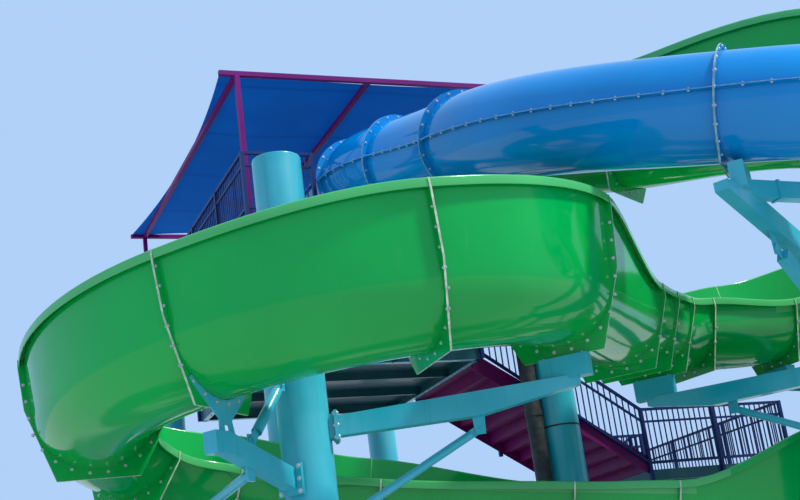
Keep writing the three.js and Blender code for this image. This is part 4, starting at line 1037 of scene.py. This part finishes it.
def build_strut(name, radius):
    """The round bar of a strut between its end plates, with the two heads of a pin at each end"""
    middle, way, half = longest_line(name)
    bm = bmesh.new()
    length = 2 * half - STRUT_ENDS
    cone(bm, Matrix.Translation(middle - way * (length / 2)) @ facing(way), radius, radius, length, 32)
    side = UP.cross(way).normalized()
    for end in (1, -1):
        pin = middle + way * end * (half - 0.055)
        for out in (side, -side):
            bolt(bm, Matrix.Translation(pin + out * 0.010) @ facing(out), 0.020)
    return add_piece(f"{name}_bar", bm, ["teal"])


# Railings


def railing_lines():
    """The runs of railing along their walking levels"""
    tube_clear = TUBE_RADIUS + SHELL + RING_OUT + 0.06
    left, right, front, back = UPPER_DECK
    left, right, front, back = left - RAIL_LINE, right + RAIL_LINE, front - RAIL_LINE, back + RAIL_LINE
    lower_left, lower_right, lower_front, lower_back = LOWER_DECK
    lower_left, lower_right = lower_left - RAIL_LINE, lower_right + RAIL_LINE
    lower_front, lower_back = lower_front - RAIL_LINE, lower_back + RAIL_LINE
    flight_left, flight_right = UPPER_FLIGHT[0] - RAIL_LINE, UPPER_FLIGHT[1] + RAIL_LINE
    flight_foot, flight_top = UPPER_FLIGHT_TOP - FLIGHT_RUN + 0.1, UPPER_FLIGHT_TOP - 0.08
    near_a, far_a = NEAR_FLIGHT[0] - RAIL_LINE, NEAR_FLIGHT[1] + RAIL_LINE
    near_b, far_b = FAR_FLIGHT[0] - RAIL_LINE, FAR_FLIGHT[1] + RAIL_LINE
    landing_foot = LOWER_DECK[1] + FLIGHT_RUN
    landing_left, landing_right = LANDING
    ground = HALF_LANDING_LEFT - FLIGHT_RUN + 0.04
    beside_column = COLUMN_RADIUS + 0.06
    column_x, column_y, _ = COLUMNS["tower_column_front_left"]
    well_left, well_right, well_front = WELL
    top, lower, landing, half = UPPER_LEVEL, LOWER_LEVEL, LANDING_LEVEL, HALF_LEVEL
    lines = {
        "upper": ((TUBE_START[0] - tube_clear, front, top), (left, front, top), (left, back, top), (right, back, top),
                  (right, front, top)),
        "front": ((TUBE_START[0] + tube_clear, front, top), (4.28, front, top)),
        "well": ((flight_left, flight_foot, lower), (flight_left, flight_top, top), (well_left, flight_top, top),
                 (well_left, well_front, top), (well_right, well_front, top), (well_right, flight_top, top),
                 (flight_right, flight_top, top), (flight_right, flight_foot, lower)),
        "outer": ((column_x + beside_column, lower_front, lower), (lower_right, lower_front, lower),
                  (lower_right, near_a, lower), (landing_foot, near_a, landing),
                  (landing_right + RAIL_LINE, near_a, landing), (landing_right + RAIL_LINE, far_b, landing),
                  (landing_left, far_b, landing), (HALF_LANDING_RIGHT, far_b, half), (HALF_LANDING_LEFT, far_b, half),
                  (ground, far_b, 0)),
        "inner": ((flight_right + 0.06, lower_back, lower), (lower_right, lower_back, lower),
                  (lower_right, far_a, lower), (landing_foot + 0.06, far_a, landing),
                  (landing_left + 0.06, far_a, landing), (landing_left - 0.06, near_b, landing),
                  (HALF_LANDING_RIGHT, near_b, half), (HALF_LANDING_LEFT, near_b, half), (ground, near_b, 0)),
        "deck": ((lower_left, column_y + beside_column, lower), (lower_left, lower_back, lower),
                 (flight_left - 0.07, lower_back, lower)),
    }
    return {name: [Vector(point) for point in points] for name, points in lines.items()}


def build_pickets(name, points, sizes):
    """Upright bars between the bottom and the top rail, and a second rail between these"""
    bm = bmesh.new()
    width = sizes.picket_width
    height = RAIL_HEIGHT - RAIL_FOOT - RAIL_THICK
    for a, b in zip(points, points[1:]):
        flat = (b - a).to_2d().length
        gaps = max(1, round(flat / sizes.picket_spacing))
        turn = Matrix.Rotation(math.atan2(b.y - a.y, b.x - a.x), 4, "Z")
        for k in range(1, gaps):
            middle = a.lerp(b, k / gaps) + UP * (RAIL_FOOT + height / 2)
            box(bm, Matrix.Translation(middle) @ turn, (width, width, height))
        middle = a.lerp(b, 0.5) + UP * (RAIL_HEIGHT - SECOND_RAIL)
        box(bm, Matrix.Translation(middle) @ facing(b - a, "X", "Z"),
            ((b - a).length, SECOND_RAIL_THICK, SECOND_RAIL_THICK))
    return add_piece(f"pickets_{name}", bm, ["navy"])


# Canopy, edges of the decks, tubs, treads and pipe


def build_canopy(sizes):
    """One stretched sheet with bowed edges, sagging a little between its rafters"""
    bm = bmesh.new()
    bmesh.ops.create_grid(bm, x_segments=60, y_segments=64, size=0.5)
    (x0, x1), (y0, y1) = CANOPY_X, CANOPY_Y
    tied_from, tied_to = y0 + 0.14, y1 - 0.14
    for vert in bm.verts:
        u, v = vert.co.x + 0.5, vert.co.y + 0.5
        bow_x, bow_y = EDGE_BOW * 4 * v * (1 - v), EDGE_BOW * 4 * u * (1 - u)
        x = x0 + bow_x + (x1 - x0 - 2 * bow_x) * u
        y = y0 + bow_y + (y1 - y0 - 2 * bow_y) * v
        dip = 0.0
        for a, b in zip(RAFTERS, RAFTERS[1:]):
            if a + RAFTER_HALF < x < b - RAFTER_HALF:
                share = (x - a - RAFTER_HALF) / (b - a - 2 * RAFTER_HALF)
                along = min(1.0, max(0.0, (y - tied_from) / (tied_to - tied_from)))
                dip = math.sin(math.pi * share) ** 2 * math.sin(math.pi * along) ** 0.6
        vert.co = Vector((x, y, CANOPY_LEVEL + 0.003 - sizes.fabric_sag * dip))
    area = sum(face.calc_area() for face in bm.faces)
    bmesh.ops.solidify(bm, geom=list(bm.faces), thickness=SHEET_THICK)
    piece = add_piece("shade_sheet", bm, ["cloth"], ["canopy_fabric"], crease=60)
    return piece


def build_deck_flanges():
    """Light flanges under the edge beams of the decks, with a bolt about every half metre. Their teal, lighter than
    the decks, is painted light from the floor on the edges of the undersides.
    """
    bm, bolts = bmesh.new(), bmesh.new()
    decks = ((UPPER_DECK, UPPER_LEVEL - UPPER_DECK_DEPTH, UPPER_DECK[0]),
             (LOWER_DECK, LOWER_LEVEL - LOWER_DECK_DEPTH, 1.52))
    half, thick, behind_column = 0.045, 0.008, 0.31
    downwards = Matrix.Rotation(math.pi, 4, "X")
    for (x0, x1, y0, y1), level, front_x0 in decks:
        low = level - 2 * END_GAP
        bands = (((front_x0, y0), (x1, y0), (0, 1)), ((x0, y1), (x1, y1), (0, -1)), ((x1, y0), (x1, y1), (-1, 0)),
                 ((x0, y0 + behind_column), (x0, y1), (1, 0)))
        for (ax, ay), (bx, by), (inwards_x, inwards_y) in bands:
            dx, dy = half * inwards_x, half * inwards_y
            centre = shift((ax + bx) / 2 + dx, (ay + by) / 2 + dy, low - thick / 2)
            box(bm, centre, (max(abs(bx - ax), 2 * half), max(abs(by - ay), 2 * half), thick))
            count = int((abs(bx - ax) + abs(by - ay)) / 0.5)
            for k in range(1, count):
                spot = shift(ax + (bx - ax) * k / count + dx, ay + (by - ay) * k / count + dy, low - thick)
                bolt(bolts, spot @ downwards, 0.012)
    # The flanges' teal, lighter than the decks, paints the light that the floor throws onto the undersides' edges.
    add_piece("deck_edge_flanges", bm, ["teal"])
    return add_piece("deck_bolts", bolts, ["bolt"])


def build_water():
    """Still water on the floor of the two start tubs"""
    bm = bmesh.new()
    for x, half in ((FLUME_START[0], 0.758), (TUBE_START[0], 0.688)):
        place = shift(x, 4.54, UPPER_LEVEL + 0.032) @ Matrix.Diagonal((2 * half, 1.07, 1, 1))
        bmesh.ops.create_grid(bm, x_segments=8, y_segments=6, size=0.5, matrix=place)
    return add_piece("tub_water", bm, ["water"])


def build_nosings():
    """Anti-slip strips on the edge of every tread"""
    bm = bmesh.new()
    near, far = NEAR_FLIGHT[1] - NEAR_FLIGHT[0], FAR_FLIGHT[1] - FAR_FLIGHT[0]
    flights = (((UPPER_FLIGHT[0], UPPER_FLIGHT_TOP, UPPER_LEVEL), -math.pi / 2, UPPER_FLIGHT[1] - UPPER_FLIGHT[0]),
               ((LOWER_DECK[1], NEAR_FLIGHT[0], LOWER_LEVEL), 0.0, near),
               ((LANDING[0], FAR_FLIGHT[1], LANDING_LEVEL), math.pi, far),
               ((HALF_LANDING_LEFT, FAR_FLIGHT[1], HALF_LEVEL), math.pi, far))
    depth, thick, setback = STRIP
    for place, heading, width in flights:
        matrix = Matrix.Translation(place) @ Matrix.Rotation(heading, 4, "Z")
        for k in range(1, RISERS):
            tread = shift(k * GOING - setback, width / 2, -k * RISE + thick / 2)
            box(bm, matrix @ tread, (depth, width - 0.1, thick))
    return add_piece("tread_strips", bm, ["grit"])


def build_supply_pipe():
    """The black pipe with its collars, and the straps that hold it to the column"""
    x, y = SUPPLY_PIPE
    radius = SUPPLY_RADIUS + 0.0005
    bm = bmesh.new()
    cone(bm, shift(x, y, SUPPLY_FOOT), radius, radius, SUPPLY_LENGTH, 48, caps=False)
    collar, length = COLLAR
    for z in COLLAR_LEVELS:
        cone(bm, shift(x, y, z - length / 2), collar, collar, length, 48)
    piece = add_piece("supply_pipe_wall", bm, ["black"], ["supply_pipe"])
    straps = bmesh.new()
    column_x, column_y, _ = COLUMNS["tower_column_front_right"]
    around_column, around_pipe = COLUMN_RADIUS + 0.006, SUPPLY_RADIUS + 0.007
    for z in STRAP_LEVELS:
        low = z - STRAP_THICK / 2
        cone(straps, shift(column_x, column_y, low), around_column, around_column, STRAP_THICK, 64)
        cone(straps, shift(x, y, low), around_pipe, around_pipe, STRAP_THICK, 48)
    add_piece("pipe_straps", straps, ["black"])
    return piece


class SLIDE_OT_finishes(bpy.types.Operator):
    """Makes the finishes and paints the solids that stay"""

    bl_idname = "slide.finishes"
    bl_label = "Finishes"

    def execute(self, context):
        make_finishes()
        teal = [n for n in NODES if n.startswith(("column_", "arm_", "beam_", "strut_", "tie_", "tower_"))
                or n in POSTS]
        paint("teal", *teal)
        paint("green", "flume_tub")
        paint("blue", "tube_tub")
        # The decks and the landing take the darkened teal, painted shade under them.
        paint("deck", "upper_deck", "lower_deck", "landing")
        paint("magenta", "flight_upper", "flight_middle", "flight_lower", "flight_ground")
        paint("violet", "canopy_frame")
        paint("navy", *[n for n in NODES if n.startswith("railing_")])
        return {"FINISHED"}


class SLIDE_OT_flume(bpy.types.Operator):
    """Builds the open flume's moulded sections and their bolts"""

    bl_idname = "slide.flume"
    bl_label = "Flume"

    def execute(self, context):
        sizes = context.scene.slide_sizes
        joints = trace(FLUME_START, START_WALLS, FLUME_RUNS)
        for name, (first, last) in FLUME_PIECES.items():
            build_flume_piece(name, first, last, joints)
        build_flume_bolts(joints, sizes)
        return {"FINISHED"}


class SLIDE_OT_tube(bpy.types.Operator):
    """Builds the closed tube's sections and their bolts"""

    bl_idname = "slide.tube"
    bl_label = "Tube"

    def execute(self, context):
        sizes = context.scene.slide_sizes
        joints = trace(TUBE_START, (0, 0), TUBE_RUNS)
        for name, (first, last) in TUBE_PIECES.items():
            build_tube_piece(name, first, last, joints)
        build_tube_bolts(joints, sizes)
        return {"FINISHED"}


class SLIDE_OT_steelwork(bpy.types.Operator):
    """Rounds the columns, posts and struts, and adds gussets, pins, bolts, end plates and the supply pipe"""

    bl_idname = "slide.steelwork"
    bl_label = "Steelwork"

    def execute(self, context):
        for name, (x, y, height) in COLUMNS.items():
            build_column(name, x, y, height)
        build_anchors()
        for name, radius in (("strut_right", 0.0505), ("tie_left", 0.0625), ("strut_mid", 0.0505)):
            build_strut(name, radius)
        flume = trace(FLUME_START, START_WALLS, FLUME_RUNS)
        build_posts(flume)
        build_arm_ends({"flume": flume, "tube": trace(TUBE_START, (0, 0), TUBE_RUNS)})
        build_supply_pipe()
        return {"FINISHED"}


class SLIDE_OT_tower(bpy.types.Operator):
    """Adds the railings' pickets, the decks' flanges, the treads' strips and the tubs' water"""

    bl_idname = "slide.tower"
    bl_label = "Stair tower"

    def execute(self, context):
        sizes = context.scene.slide_sizes
        for name, points in railing_lines().items():
            build_pickets(name, points, sizes)
        build_deck_flanges()
        build_nosings()
        build_water()
        return {"FINISHED"}


class SLIDE_OT_canopy(bpy.types.Operator):
    """Stretches the shade cloth over its frame"""

    bl_idname = "slide.canopy"
    bl_label = "Canopy"

    def execute(self, context):
        build_canopy(context.scene.slide_sizes)
        return {"FINISHED"}


class SLIDE_OT_stage(bpy.types.Operator):
    """Sets the floor, the pale sky, the soft sun and the camera"""

    bl_idname = "slide.stage"
    bl_label = "Stage"

    def execute(self, context):
        bm = bmesh.new()
        bmesh.ops.create_circle(bm, cap_ends=True, segments=96, radius=90.0, matrix=shift(6, 4, -0.002))
        mesh = bpy.data.meshes.new("floor")
        bm.to_mesh(mesh)
        bm.free()
        finish = Finish("pale_floor")
        mesh.materials.append(finish.surface(colour=(0.50, 0.50, 0.49, 1.0), rough=0.9))
        floor = bpy.data.objects.new("floor", mesh)
        context.scene.collection.objects.link(floor)

        world = bpy.data.worlds.new("studio")
        world.use_nodes = True
        sky = world.node_tree.nodes["Background"]
        sky.inputs["Color"].default_value = (0.46, 0.67, 1.0, 1.0)
        sky.inputs["Strength"].default_value = 0.95
        context.scene.world = world
        context.scene.view_settings.view_transform = "Standard"

        sun = bpy.data.lights.new("key", "SUN")
        sun.energy = 4.2
        sun.angle = math.radians(6)
        sun.color = (1.0, 0.97, 0.92)
        key = bpy.data.objects.new("key", sun)
        way = Vector((-0.45, 0.36, -0.82))
        key.rotation_euler = way.to_track_quat("-Z", "Y").to_euler()
        context.scene.collection.objects.link(key)

        lens = bpy.data.cameras.new("camera")
        lens.sensor_width = 36.0
        lens.lens = CAMERA_LENS
        lens.clip_end = 500.0
        camera = bpy.data.objects.new("camera", lens)
        heading, lift, roll = (math.radians(angle) for angle in CAMERA_TURNS)
        ahead = Vector((math.sin(heading) * math.cos(lift), math.cos(heading) * math.cos(lift), math.sin(lift)))
        right = Vector((math.cos(heading), -math.sin(heading), 0))
        up = right.cross(ahead)
        across = right * math.cos(roll) - up * math.sin(roll)
        upright = up * math.cos(roll) + right * math.sin(roll)
        turn = Matrix((across, upright, -ahead)).transposed().to_4x4()
        camera.matrix_world = Matrix.Translation(CAMERA_PLACE) @ turn
        context.scene.collection.objects.link(camera)
        context.scene.camera = camera
        return {"FINISHED"}


OPERATORS = (SLIDE_OT_finishes, SLIDE_OT_flume, SLIDE_OT_tube, SLIDE_OT_steelwork, SLIDE_OT_tower, SLIDE_OT_canopy,
             SLIDE_OT_stage)


class SLIDE_PT_panel(bpy.types.Panel):
    """Sizes, colours and pieces of the slide"""

    bl_idname = "SLIDE_PT_panel"
    bl_label = "Water slide tower"
    bl_space_type = "VIEW_3D"
    bl_region_type = "UI"
    bl_category = "Slide"

    def draw(self, context):
        for group in (context.scene.slide_sizes, context.scene.slide_colours):
            for name in group.__annotations__:
                self.layout.prop(group, name)
        for operator in OPERATORS:
            self.layout.operator(operator.bl_idname)


CLASSES = (SlideSizes, SlideColours, *OPERATORS, SLIDE_PT_panel)


def register():
    for cls in CLASSES:
        bpy.utils.register_class(cls)
    bpy.types.Scene.slide_sizes = bpy.props.PointerProperty(type=SlideSizes)
    bpy.types.Scene.slide_colours = bpy.props.PointerProperty(type=SlideColours)


def unregister():
    del bpy.types.Scene.slide_colours
    del bpy.types.Scene.slide_sizes
    for cls in reversed(CLASSES):
        bpy.utils.unregister_class(cls)


def main():
    register()
    bpy.ops.slide.finishes()
    bpy.ops.slide.flume()
    bpy.ops.slide.tube()
    bpy.ops.slide.steelwork()
    bpy.ops.slide.tower()
    bpy.ops.slide.canopy()
    bpy.ops.slide.stage()


if __name__ == "__main__":
    main()
